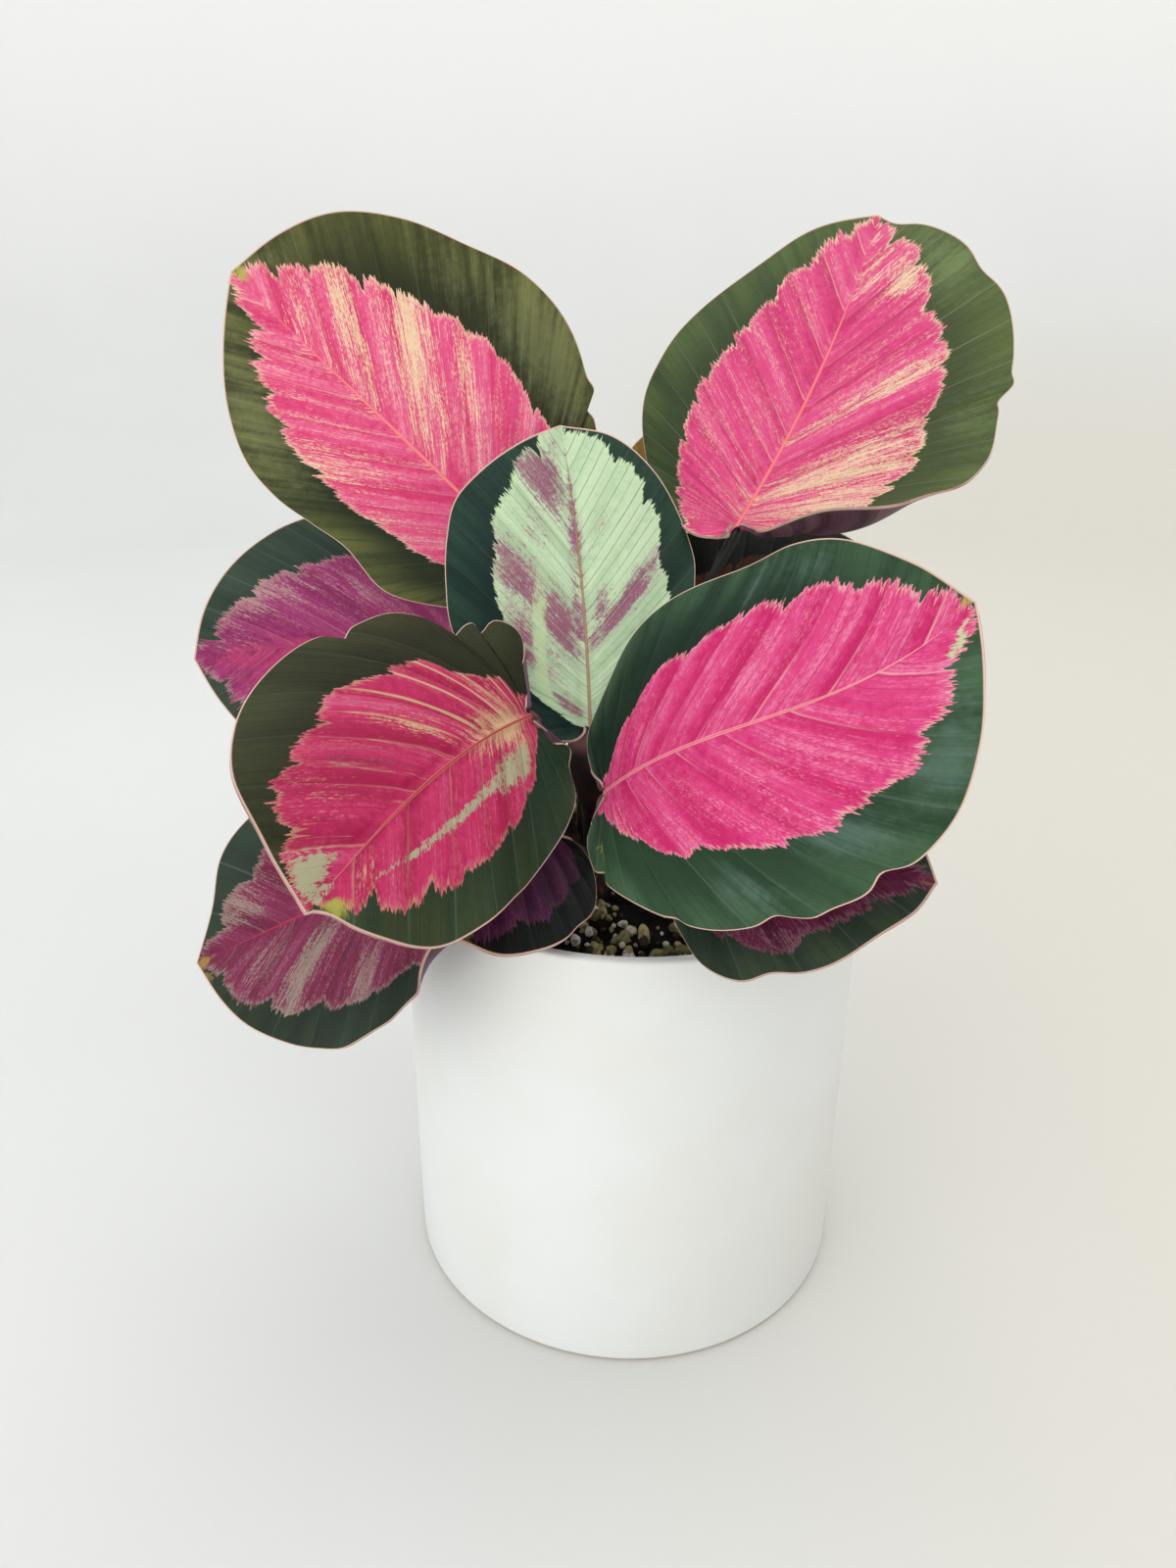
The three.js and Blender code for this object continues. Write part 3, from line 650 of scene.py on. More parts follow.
def metres(lengths):
    """Lengths in millimetres as metres."""
    return [length * MM for length in lengths]


def deselect():
    for other in bpy.context.selected_objects:
        other.select_set(False)


def only(obj):
    """Leaves obj as the one selected and active object."""
    deselect()
    obj.select_set(True)
    bpy.context.view_layer.objects.active = obj


def in_edit_mode(obj, work):
    """Does the work in edit mode with all of obj selected."""
    only(obj)
    bpy.ops.object.mode_set(mode="EDIT")
    bpy.ops.mesh.select_all(action="SELECT")
    work()
    bpy.ops.object.mode_set(mode="OBJECT")


def apply_modifier(obj, kind, **settings):
    only(obj)
    modifier = obj.modifiers.new(kind.title(), kind)
    for key, value in settings.items():
        setattr(modifier, key, value)
    bpy.ops.object.modifier_apply(modifier=modifier.name)


def smooth(obj, angle):
    only(obj)
    bpy.ops.object.shade_smooth_by_angle(angle=math.radians(angle))


def points_of(obj):
    flat = np.empty(len(obj.data.vertices) * 3)
    obj.data.vertices.foreach_get("co", flat)
    return flat.reshape(-1, 3)


def move_points(obj, points):
    obj.data.vertices.foreach_set("co", np.ascontiguousarray(points, float).ravel())
    obj.data.update()


def give_values(obj, name, values):
    attribute = obj.data.attributes.new(name, "FLOAT", "POINT")
    attribute.data.foreach_set("value", np.ascontiguousarray(values, float).ravel())


def smoothstep(low, high, x):
    t = np.clip((x - low) / (high - low), 0, 1)
    return t * t * (3 - 2 * t)


def distance_walked(points):
    """How far each point lies along the line through the points."""
    strides = np.linalg.norm(np.diff(points, axis=0), axis=1)
    return np.concatenate([[0], np.cumsum(strides)])


def place_camera():
    """Looks ahead along +Y, tipped down and rolled a little."""
    down, roll = math.radians(CAMERA_DOWN), math.radians(CAMERA_ROLL)
    ahead = Vector((0, math.cos(down), -math.sin(down)))
    right = Vector((1, 0, 0))
    up = right.cross(ahead)
    turned_right = right * math.cos(roll) + up * math.sin(roll)
    turned_up = up * math.cos(roll) - right * math.sin(roll)
    bpy.ops.object.camera_add()
    camera = bpy.context.object
    camera.name = "camera"
    camera.data.lens = CAMERA_LENS
    camera.data.clip_start = CAMERA_NEAR * MM
    axes = Matrix((turned_right, turned_up, -ahead)).transposed()
    camera.matrix_world = Matrix.Translation(Vector(CAMERA_PLACE) * MM) @ axes.to_4x4()
    bpy.context.scene.camera = camera


class Finish:
    """A material under construction. Each method adds a node and returns its output socket."""

    def __init__(self, name):
        self.material = bpy.data.materials.new(name)
        self.material.use_nodes = True
        self.tree = self.material.node_tree
        self.shader = self.tree.nodes["Principled BSDF"]

    def node(self, kind, inputs, output=0, **settings):
        node = self.tree.nodes.new("ShaderNode" + kind)
        for key, value in settings.items():
            setattr(node, key, value)
        for key, value in inputs.items():
            self.feed(node.inputs[key], value)
        return node.outputs[output]

    def feed(self, socket, value):
        """Links another node's output, or sets a hex colour or a plain value."""
        if isinstance(value, bpy.types.NodeSocket):
            self.tree.links.new(value, socket)
        elif isinstance(value, str):
            socket.default_value = colour(value)
        else:
            socket.default_value = value

    def math(self, operation, a, b=0.0, third=0.0):
        return self.node("Math", {0: a, 1: b, 2: third}, operation=operation)

    def add(self, a, b):
        return self.math("ADD", a, b)

    def times(self, a, b):
        return self.math("MULTIPLY", a, b)

    def mix(self, *parts):
        """The sum of (value, factor) pairs."""
        total = self.times(*parts[0])
        for value, factor in parts[1:]:
            total = self.math("MULTIPLY_ADD", value, factor, third=total)
        return total

    def step(self, value, low, high, bottom=0.0, top=1.0):
        """Rises smoothly from bottom to top as the value goes from low to high."""
        inputs = {"Value": value, "From Min": low, "From Max": high, "To Min": bottom, "To Max": top}
        return self.node("MapRange", inputs, interpolation_type="SMOOTHSTEP")

    def to_line(self, count):
        """Distance to the nearest line, where a line lies at every whole number of the count."""
        return self.math("PINGPONG", count, 0.5)

    def blend(self, share, a, b):
        """Colour a covered by colour b as far as the share says."""
        return self.node("Mix", {0: share, 6: a, 7: b}, output=2, data_type="RGBA")

    def tinted(self, base, value, saturation=1.0):
        return self.node("HueSaturation", {"Value": value, "Saturation": saturation, "Color": base})

    def value(self, name):
        return self.node("Attribute", {}, output=2, attribute_name=name)

    def place(self):
        return self.node("TexCoord", {}, output=3)

    def sideways(self):
        return self.node("SeparateXYZ", {0: self.place()}, output=0)

    def height(self):
        return self.node("SeparateXYZ", {0: self.place()}, output=2)

    def noise(self, where, scale=1.0, detail=2.0, rough=0.5):
        inputs = {"Vector": where, "Scale": scale, "Detail": detail, "Roughness": rough}
        return self.node("TexNoise", inputs)

    def bump(self, height, strength, distance):
        inputs = {"Height": height, "Strength": strength, "Distance": distance * MM}
        return self.node("Bump", inputs)

    def use(self, **sockets):
        """Feeds the shader's own sockets: a name's underscores stand for blanks."""
        for name, value in sockets.items():
            self.feed(self.shader.inputs[name.replace("_", " ").title().replace("Ior", "IOR")], value)
        return self.material


def edge_outline(leaf, half, count):
    """The half's edge as count + 1 points evenly spaced along it: distance along, distance out."""
    corners = np.array([(0, 0), NOTCH, *half["edge"], (leaf["length"], 0)], float)
    padded = np.vstack([2 * corners[0] - corners[1], corners, 2 * corners[-1] - corners[-2]])
    curve = []
    for a, b, c, d in zip(padded, padded[1:], padded[2:], padded[3:]):
        for t in np.arange(EDGE_SMOOTHING_STEPS) / EDGE_SMOOTHING_STEPS:
            square = (2 * a - 5 * b + 4 * c - d) * t ** 2
            cube = (3 * b - a - 3 * c + d) * t ** 3
            curve.append(0.5 * (2 * b + (c - a) * t + square + cube))
    curve = np.array(curve + [corners[-1]])
    walked = distance_walked(curve)
    even = np.linspace(0, walked[-1], count + 1)
    along, out = np.interp(even, walked, curve[:, 0]), np.interp(even, walked, curve[:, 1])
    # the waves push the edge outwards, square to its own run
    onward, outward = np.gradient(along), np.gradient(out)
    length = np.hypot(onward, outward)
    push = edge_waves(half, np.linspace(0, 1, count + 1))
    return along - outward / length * push, np.maximum(out + onward / length * push, 0)


def edge_waves(half, s):
    """How far small waves push the edge outwards: none at the very base and the very tip."""
    push = np.zeros(s.shape)
    for at, reach, size in half.get("waves", ()):
        push += size * np.exp(-(((s - at) / reach) ** 2))
    return push * np.clip(s / WAVE_FREE_BASE, 0, 1) * np.clip((1 - s) / WAVE_FREE_TIP, 0, 1)


def midrib_frames(leaf):
    """Point, direction, left and up of the midrib at even steps from base to tip."""
    t = np.linspace(0, 1, MIDRIB_STEPS + 1)
    heading = np.radians(leaf["heading"][0] + leaf["heading"][1] * t)
    rise = np.radians(leaf["rise"][0] + leaf["rise"][1] * t + leaf["rise"][2] * np.sin(np.pi * t))
    roll = np.radians(leaf["roll"][0] + leaf["roll"][1] * t)[:, None]
    flat = np.cos(rise)
    direction = np.stack([flat * np.cos(heading), flat * np.sin(heading), np.sin(rise)], 1)
    level = np.stack([-np.sin(heading), np.cos(heading), 0 * t], 1)
    square = np.cross(direction, level)
    left = np.cos(roll) * level + np.sin(roll) * square
    up = -np.sin(roll) * level + np.cos(roll) * square
    moves = (direction[1:] + direction[:-1]) / 2 * leaf["length"] / MIDRIB_STEPS
    point = np.array(leaf["base"], float) + np.vstack([[0, 0, 0], np.cumsum(moves, axis=0)])
    return point, direction, left, up


def frame_at(leaf, frames, along):
    """The midrib's point, direction, left and up at any distance along it, also past its ends."""
    steps = np.linspace(0, leaf["length"], len(frames[0]))
    mixed = []
    for rows in frames:
        mixed.append(np.stack([np.interp(along, steps, rows[:, axis]) for axis in range(3)], -1))
    beyond = along - np.clip(along, 0, leaf["length"])
    mixed[0] = mixed[0] + mixed[1] * beyond[..., None]
    return mixed


def blade_surface(leaf, s, v):
    """Points of the blade, the way up from the midrib there, the half's width, and how far along
    the midrib the point is. s runs from base to tip; v is how far out the point is, from 1 at the
    left edge through 0 at the midrib to -1 at the right edge."""
    frames = midrib_frames(leaf)
    rows = s.shape[0] - 1
    q = np.abs(v)
    along, upward, sideways, width = (np.zeros(s.shape) for _ in range(4))
    for name, mine in (("left", v >= 0), ("right", v < 0)):
        half = leaf[name]
        edge_along, edge_out = (row[:, None] for row in edge_outline(leaf, half, rows))
        start = leaf["length"] * s ** VEIN_START_POWER
        reach = start + (edge_along - start) * q ** VEIN_SWEEP_POWER
        bend = math.radians(half["cup"]) / (CUP_SPAN * leaf["length"])
        angle, until, fade, power = half.get("curl", (0, 1, 1, 1))
        curl = math.radians(angle) * smoothstep(until + fade, until - fade, s)
        out, lift = np.zeros(s.shape), np.zeros(s.shape)
        # walk outwards from the midrib: the slope is the fold, the cup and the base lobe's curl
        for i in range(CROSS_STEPS):
            share = (i + 0.5) / CROSS_STEPS * q
            slope = math.radians(half["fold"]) + bend * edge_out * share + curl * share ** power
            out += np.cos(slope) * edge_out * q / CROSS_STEPS
            lift += np.sin(slope) * edge_out * q / CROSS_STEPS
        height, waves, first = leaf["ripple"]
        turn = waves * s + first + (0 if name == "left" else RIPPLE_SHIFT)
        swell = height * q ** RIPPLE_OUTWARD * np.sin(np.pi * s) ** RIPPLE_ONWARD
        lift += swell * np.sin(2 * np.pi * turn)
        lift += WAVE_LIFT * edge_waves(half, s) * q ** WAVE_OUTWARD
        for whole, part in ((along, reach), (sideways, out), (upward, lift), (width, edge_out + 0 * s)):
            whole[mine] = part[mine]
    point, _, left, up = frame_at(leaf, frames, along)
    side = np.where(v >= 0, 1, -1)
    return point + (side * sideways)[..., None] * left + upward[..., None] * up, up, width, along


def quilt(leaf, s, v, spacing, seed):
    """The soft folds between the main laterals: their height, and a count that goes up by one
    from each main lateral to the next. The folds flatten where the laterals crowd."""
    draw = np.random.default_rng(seed)
    count = max(4, round(leaf["length"] * QUILT_RATIO / QUILT_SPACING))
    bends = draw.uniform(*QUILT_BENDS, (2, count + 2))
    shift = draw.uniform(0, 1, 2)
    height, place = np.zeros(s.shape), np.zeros(s.shape)
    for half, mine in ((0, v >= 0), (1, v < 0)):
        at = s * count + shift[half]
        fold = np.floor(at).astype(int)
        arch = np.abs(np.sin(np.pi * at)) ** QUILT_ROUNDING - QUILT_SINK
        reach = np.sin(np.pi * np.clip(np.abs(v), 0, 1) ** QUILT_INWARD) ** QUILT_ROUNDING
        fade = smoothstep(0, QUILT_FROM, s) * smoothstep(1, QUILT_TO, s)
        height[mine] = (bends[half][fold] * arch * reach * fade)[mine]
        place[mine] = at[mine]
    return height * np.clip(spacing, 0, 1), place


def pink_depth(leaf, s, v, width, seed):
    """Distance in mm from a point of the blade out to the pink's edge: below 0 is in the green.
    The edge is a row of teeth, each rising steeply from its start and falling a little after."""
    draw = np.random.default_rng(seed + 100)
    depth = np.zeros(s.shape)
    for name, mine in (("left", v >= 0), ("right", v < 0)):
        reach = np.interp(s, PINK_STATIONS, leaf[name]["pink"])
        lobes = max(4, round(leaf["length"] * EDGE_RATIO / LOBE_SPACING))
        starts = (np.arange(lobes + 1) + draw.uniform(-LOBE_SHIFT, LOBE_SHIFT, lobes + 1)) / lobes
        rises = draw.uniform(*LOBE_RISES, lobes + 1) * LOBE_RISE
        index = np.clip(np.searchsorted(starts, s) - 1, 0, lobes - 1)
        share = np.clip((s - starts[index]) / (starts[index + 1] - starts[index]), 0, 1)
        risen = np.minimum(share * TOOTH_STEEPNESS, 1) ** TOOTH_ROUNDING
        plateau = risen * (1 - TOOTH_FALL * share ** TOOTH_FALL_POWER)
        tooth = rises[index] * (plateau - TOOTH_SINK) * smoothstep(*TEETH_FROM, s)
        found = (reach - np.abs(v)) * width + tooth
        depth[mine] = found[mine]
    return depth


def mark_weights(places, power, s, v):
    """How strongly the marks of one kind lie on each point: 1 in a usual mark's middle."""
    weight = np.zeros(s.shape)
    for at_s, at_v, reach_s, reach_v, strength, *slant in places:
        lean, taper = (*slant, 0, 0)[:2]
        away = (s - at_s) / reach_s
        narrowing = 1 - taper * np.clip(away + 1, 0, 2) / 2
        across = (v - at_v - lean * (s - at_s)) / (reach_v * narrowing)
        weight = np.maximum(weight, strength * np.exp(-(np.abs(away) ** power) - np.abs(across) ** power))
    return weight


def make_blade(name, leaf, seed):
    """The blade is a grid whose rows follow the laterals. It is shaped, measured for its pattern,
    and given its thickness downwards, with the midrib's keel below."""
    look, length = LOOKS[name], leaf["length"]
    rows = round(length * ROWS_PER_MM)
    bpy.ops.mesh.primitive_grid_add(x_subdivisions=2 * HALF_COLUMNS, y_subdivisions=rows, size=2)
    blade = bpy.context.object
    blade.name = blade.data.name = f"blade_{name}"
    grid = points_of(blade).reshape(rows + 1, 2 * HALF_COLUMNS + 1, 3)
    s = (grid[..., 1] + 1) / 2
    u = -grid[..., 0]
    crowded = COLUMN_CROWDING * np.abs(u) ** COLUMN_POWER
    v = np.sign(u) * ((1 - COLUMN_CROWDING) * np.abs(u) + crowded)
    points, up, width, along = blade_surface(leaf, s, v)
    across = np.gradient(points, axis=1)
    onward = np.gradient(points, axis=0)
    normal = np.cross(across, onward)
    normal /= np.maximum(np.linalg.norm(normal, axis=-1, keepdims=True), 1e-9)
    out = np.abs(v) * width
    square = normal + (up - normal) * smoothstep(RIB_BLEND, 0, out)[..., None]
    square /= np.linalg.norm(square, axis=-1, keepdims=True)

    share_along = along / length
    before_tip = smoothstep(*RIB_END, length - along)
    rib_radius = RIB_BASE_RADIUS + (RIB_TIP_RADIUS - RIB_BASE_RADIUS) * share_along
    rib_radius = rib_radius * look.get("rib_width", 1.0) * np.maximum(before_tip, RIB_LEAST)
    ridge = np.exp(-((out / rib_radius) ** 2))
    groove = np.exp(-(((out - GROOVE_OUT) / GROOVE_WIDTH) ** 2))
    rib = RIB_HEIGHT * (ridge - groove) * smoothstep(0, RIB_START, s) * before_tip
    spacing = np.linalg.norm(onward, axis=-1) * rows / (length * EDGE_RATIO)
    folds, creases = quilt(leaf, s, v, spacing, seed)
    height = QUILT_HEIGHT * look.get("quilt", 1.0)
    relief = folds * height * smoothstep(0, RIB_BLEND, out) + rib
    upper = points + square * relief[..., None]
    keel = np.clip(1 - out / MIDRIB_HALF_WIDTH, 0, 1) ** KEEL_ROUNDING * before_tip
    keel_depth = MIDRIB_DEPTH * (1 - KEEL_TAPER * share_along)
    depth = BLADE_THICKNESS + (keel_depth - BLADE_THICKNESS) * keel
    lower = upper - square * depth[..., None]
    move_points(blade, upper.reshape(-1, 3) * MM)

    give_values(blade, "vein_at", s * length * EDGE_RATIO)
    give_values(blade, "vein_out", v * width)
    give_values(blade, "to_rim", (1 - np.abs(v)) * width)
    give_values(blade, "rib", out / rib_radius + RIB_FADE * smoothstep(*RIB_FADE_SPAN, share_along))
    give_values(blade, "fold", folds)
    give_values(blade, "crease", creases)
    give_values(blade, "pink", pink_depth(leaf, s, v, width, seed))
    for kind, power in MARK_KINDS.items():
        give_values(blade, kind, mark_weights(look["marks"].get(kind, ()), power, s, v))
    for finish in (leaf_finish(name, look, seed), UNDER, RIM):
        blade.data.materials.append(finish)

    apply_modifier(
        blade, "SOLIDIFY", thickness=BLADE_THICKNESS * MM, offset=-1,
        material_offset=1, material_offset_rim=2,
    )
    both = np.concatenate([upper.reshape(-1, 3), lower.reshape(-1, 3)])
    move_points(blade, both * MM)
    in_edit_mode(blade, lambda: bpy.ops.mesh.remove_doubles(threshold=BLADE_WELD * MM))
    smooth(blade, angle=55)
    return blade


def leaf_finish(name, look, seed):
    """The upper face of a leaf: green rim, coloured middle with feathered teeth, veins, midrib."""
    f = Finish(f"leaf_{name}")
    at, out = f.value("vein_at"), f.value("vein_out")
    mix, step, times, blend = f.mix, f.step, f.times, f.blend

    def streaks(width, length, lift=0.0, detail=2.0):
        """Noise about 0, drawn out along the laterals: width and length in mm."""
        across = times(at, 1 / width)
        onward = times(out, 1 / length)
        where = f.node("CombineXYZ", {0: across, 1: onward, 2: seed * 3.7 + lift})
        return f.add(f.noise(where, detail=detail), -0.5)

    def patch(name, low, high, top, *ragged):
        """How much of a mark shows: its weight with a ragged edge, and none where it has no weight."""
        weight = f.value(name)
        shown = step(mix((weight, 1.0), *ragged), low, high, 0.0, top)
        return times(shown, step(weight, 0.02, 0.3))

    hair = streaks(width=0.4, length=6, lift=17)
    fine = streaks(width=0.75, length=7)
    middling = streaks(width=2.8, length=24, lift=5)
    broad = streaks(width=8.0, length=60, lift=9)
    speckle = streaks(width=0.34, length=0.7, lift=13, detail=3.0)
    blotch = f.add(f.noise(f.place(), scale=420.0, detail=3.0, rough=0.6), -0.5)
    fold = f.value("fold")
    inside = f.add(f.value("pink"), mix((fine, 3.0), (middling, 2.4), (hair, 2.6), (speckle, 1.4)))
    middle = step(inside, -0.1, 0.1)
    to_lateral = f.to_line(f.add(times(at, 1 / LATERAL_SPACING), times(middling, 0.4)))
    lateral = step(to_lateral, 0.0, 0.06, 1.0, 0.0)
    wandering = f.add(f.value("crease"), times(middling, 0.08))
    crease = step(f.to_line(wandering), 0.0, 0.036, 1.0, 0.0)
    # painted light on the side just past each main lateral and painted shade before the next, for the look
    # of the quilted folds
    phase = f.math("FRACT", wandering)
    sunny, shady = step(phase, 0.03, 0.5, 1.0, 0.0), step(phase, 0.55, 1.0)
    from_rib = f.math("ABSOLUTE", out)

    # the coloured middle in darker and paler bands: partly its own uneven colour, partly painted light on
    # the fold crests and painted shade in the creases
    fold_shading_and_tone = mix((fold, 0.75), (broad, 2.4), (blotch, 1.4), (sunny, 0.25), (shady, -0.25))
    body = blend(step(fold_shading_and_tone, -0.5, 0.3), look["deep"], look["pink"])
    fold_shading_and_pallor = mix((fold_shading_and_tone, 1.0), (middling, 1.5), (fine, 1.3), (hair, 1.4), (speckle, 1.9))
    body = blend(step(fold_shading_and_pallor, 0.0, 1.4, 0.0, 0.85), body, look["light"])

    # the blush, and the fine laterals
    blush = f.value("blush")
    flushed = mix((blush, 1.0), (broad, 1.0), (middling, 1.3), (fine, 1.2), (speckle, 1.8), (blotch, 1.3))
    blushing = times(step(flushed, 0.15, 1.0, 0.0, 0.92), step(blush, 0.0, 0.3, 0.25, 1.0))
    body = blend(blushing, body, BLUSH.get(name, look["deep"]))
    clear = look["lines"]
    seen = step(f.add(broad, times(middling, 0.6)), -0.12, 0.12, clear * 0.35, clear)
    body = blend(times(lateral, seen), body, look["vein"])

    # all that has lost its colour: dots, streaks, main laterals, fan, and the teeth's edge
    grain, bleach = look["grain"]
    cream = f.value("cream")
    threads = mix((hair, 1.0), (middling, 1.2), (cream, 0.2))
    dotted = times(step(speckle, -0.02, 0.14), step(threads, -0.05, 0.2))
    calm = step(from_rib, 1.0, 13.0, 0.2, 1.0)
    body = blend(times(times(dotted, grain), calm), body, look["cream"])
    loose = mix((cream, 1.0), (hair, 2.8), (fine, 1.4), (middling, 2.0), (speckle, 2.6))
    streaked = times(step(loose, 0.35, 1.25), step(cream, 0.02, 0.35))
    body = blend(times(streaked, 0.78), body, look["cream"])
    clear, reach = look["crease"]
    near_rib = step(from_rib, 2.0, reach, 1.0, 0.0)
    broken = step(mix((broad, 1.0), (middling, 0.8)), -0.16, 0.1, 0.1, clear)
    body = blend(times(times(crease, near_rib), broken), body, look["cream"])
    to_fan = f.to_line(f.add(times(at, 1 / FAN_SPACING), times(middling, 0.25)))
    fan = step(mix((f.value("fan"), 1.0), (hair, 1.2)), 0.1, 0.6)
    body = blend(times(times(step(to_fan, 0.02, 0.1, 1.0, 0.0), fan), 0.75), body, look["cream"])
    near_edge = step(mix((inside, 1.0), (middling, 3.0), (hair, 3.0)), 0.0, 1.0, 1.0, 0.0)
    body = blend(times(near_edge, bleach), body, look["cream"])

    # the green rim: toned with painted light and shade across its folds and its own random tone, darker
    # beside the middle, aglow towards the margin
    green = blend(step(out, -0.5, 0.5), look["greens"][1], look["greens"][0])
    dark, bright = f.tinted(green, 0.76), f.tinted(green, 1.22, 0.94)
    pale_green = f.tinted(green, 2.3, 0.72)
    fold_shading_and_unevenness = mix((sunny, 0.45), (shady, -0.45), (broad, 1.5), (middling, 0.7), (blotch, 0.35))
    green = blend(step(fold_shading_and_unevenness, -0.6, 0.0, 0.7, 0.0), green, dark)
    green = blend(step(fold_shading_and_unevenness, 0.05, 0.6, 0.0, 0.65), green, bright)
    green = blend(step(mix((hair, 1.0), (speckle, 0.8)), 0.0, 0.3, 0.0, 0.25), green, bright)
    green = blend(step(inside, -7.0, -0.3, 0.0, 0.4), green, dark)
    to_rim = f.value("to_rim")
    glowing = step(mix((broad, 1.0), (middling, 0.4), (blotch, 0.25)), -0.24, 0.26, 0.1, 0.55)
    green = blend(times(step(to_rim, 0.0, 15.0, 1.0, 0.0), glowing), green, look["rim"])
    green = blend(times(crease, step(broad, -0.2, 0.12, 0.35, 0.9)), green, pale_green)
    green = blend(times(lateral, 0.3), green, dark)
    # painted sheen: patches of highlight painted over the green
    painted_sheen = patch("painted_sheen", 0.1, 1.3, 0.36, (blotch, 0.8), (middling, 1.5), (hair, 0.8))
    green = blend(painted_sheen, green, look.get("painted_sheen", PAINTED_SHEEN))

    # both together, with the patches, the midrib and the margin over them
    skin = blend(middle, green, body)
    pale = patch("pale", 0.25, 0.85, 0.92, (blotch, 2.6), (speckle, 2.8), (fine, 1.4), (hair, 1.0))
    skin = blend(pale, skin, look.get("pale", PALE))
    straw = patch("straw", 0.3, 0.95, 0.85, (middling, 1.2), (blotch, 1.6))
    skin = blend(straw, skin, look.get("straw", STRAW))
    rib = f.add(f.value("rib"), times(speckle, 0.25))
    skin = blend(step(rib, 0.55, 1.1, 0.75, 0.0), skin, look["rib"][1])
    skin = blend(step(rib, 0.25, 0.55, 0.8, 0.0), skin, look["rib"][0])
    skin = blend(step(to_rim, 0.12, 0.35, 1.0, 0.0), skin, MARGIN)

    ridge = mix((lateral, -0.6), (crease, -0.8), (fine, 0.8), (hair, 0.5), (speckle, 0.5))
    return f.use(
        base_color=skin,
        roughness=step(f.add(middling, times(blotch, 0.5)), -0.2, 0.2, 0.36, 0.5),
        specular_ior_level=0.1,
        normal=f.bump(ridge, strength=0.5, distance=0.25),
    )


def underside_finish():
    """The back of a leaf: dull purple in soft bands, with its laterals and midrib paler."""
    f = Finish("leaf_underside")
    at, out = f.value("vein_at"), f.value("vein_out")
    where = f.node("CombineXYZ", {0: f.times(at, 1 / 4), 1: f.times(out, 1 / 40)})
    bands = f.noise(where)
    lateral = f.step(f.to_line(f.times(at, 1 / LATERAL_SPACING)), 0.0, 0.1, 1.0, 0.0)
    skin = f.blend(f.step(bands, 0.35, 0.65), UNDERSIDE, UNDERSIDE_LIGHT)
    skin = f.blend(f.times(lateral, 0.35), skin, UNDERSIDE_LIGHT)
    skin = f.blend(f.step(f.value("rib"), 1.0, 1.8, 0.8, 0.0), skin, UNDERSIDE_RIB)
    skin = f.blend(f.step(f.value("to_rim"), 0.3, 0.7, 1.0, 0.0), skin, MARGIN)
    ridge = f.bump(f.add(lateral, bands), strength=0.4, distance=0.2)
    return f.use(base_color=skin, roughness=0.5, specular_ior_level=0.3, normal=ridge)


def rim_finish():
    """The thin edge between the two faces of a leaf."""
    f = Finish("leaf_rim")
    tone = f.noise(f.place(), scale=180.0)
    return f.use(base_color=f.blend(f.step(tone, 0.4, 0.65), RIM_BROWN, RIM_SHADE), roughness=0.5)


def stalk_line(leaf):
    """Points of the stalk: up out of the mix, over in a bow, and in under the blade's midrib."""
    point, direction, _, up = (rows[0] for rows in midrib_frames(leaf))
    end = point - direction * STALK_SETBACK - up * STALK_DROP
    x, y = leaf["foot"]
    lip = np.array([x, y, STALK_STRAIGHT_TO])
    chord = end - lip
    reach = np.linalg.norm(chord)
    arriving = direction + chord / reach
    arriving /= np.linalg.norm(arriving)
    first = lip + np.array([0, 0, reach * leaf["bow"]])
    second = end - arriving * reach * STALK_ARRIVAL
    t = np.linspace(0, 1, BEND_POINTS)[:, None]
    near, far = 3 * (1 - t) ** 2 * t, 3 * (1 - t) * t ** 2
    bend = (1 - t) ** 3 * lip + near * first + far * second + t ** 3 * end
    levels = np.linspace(STALK_FOOT_DEPTH, STALK_STRAIGHT_TO, FOOT_POINTS)[:-1]
    foot = np.array([[x, y, z] for z in levels])
    under_rib = [end + direction * further for further in STALK_UNDER_RIB]
    return np.vstack([foot, bend, under_rib])


def make_stalk(name, leaf):
    """A tube along the stalk's line, which narrows above the sheath and swells at the joint."""
    line = stalk_line(leaf)
    walked = distance_walked(line)
    t = walked / walked[-1]
    sheath_radius, sheath_share, wing = leaf.get("sheath", (SHEATH_RADIUS, SHEATH_SHARE, 1.0))
    taper = smoothstep(sheath_share - SHEATH_TAPER, sheath_share, t)
    radius = sheath_radius + (STALK_TOP_RADIUS - sheath_radius) * taper
    radius = np.maximum(radius, STALK_JOINT_RADIUS * smoothstep(*JOINT_SPAN, t))
    radius[-len(STALK_UNDER_RIB):] = STALK_END_RADII
    data = bpy.data.curves.new(f"stalk_{name}", "CURVE")
    data.dimensions = "3D"
    data.bevel_depth = MM
    data.bevel_resolution = STALK_ROUNDNESS
    data.use_fill_caps = True
    spline = data.splines.new("POLY")
    spline.points.add(len(line) - 1)
    for point, place, size in zip(spline.points, line, radius):
        point.co = (*(place * MM), 1)
        point.radius = size
    stalk = bpy.data.objects.new(f"stalk_{name}", data)
    bpy.context.collection.objects.link(stalk)
    only(stalk)
    bpy.ops.object.convert(target="MESH")
    stalk = bpy.context.object
    points = points_of(stalk)
    nearest = np.linalg.norm(points[:, None] - line * MM, axis=2).argmin(axis=1)
    aside = points[:, 0] - line[nearest, 0] * MM
    points[:, 0] += aside * (wing - 1) * smoothstep(*WING_SPAN, t[nearest])
    move_points(stalk, points)
    give_values(stalk, "climb", t[nearest])
    # painted shade, rising along the upper stalk
    give_values(stalk, "shade", leaf.get("shade", 0.0) * smoothstep(*SHADE_SPAN, t[nearest]))
    stalk.data.materials.append(STALK)
    smooth(stalk, angle=50)
    return stalk


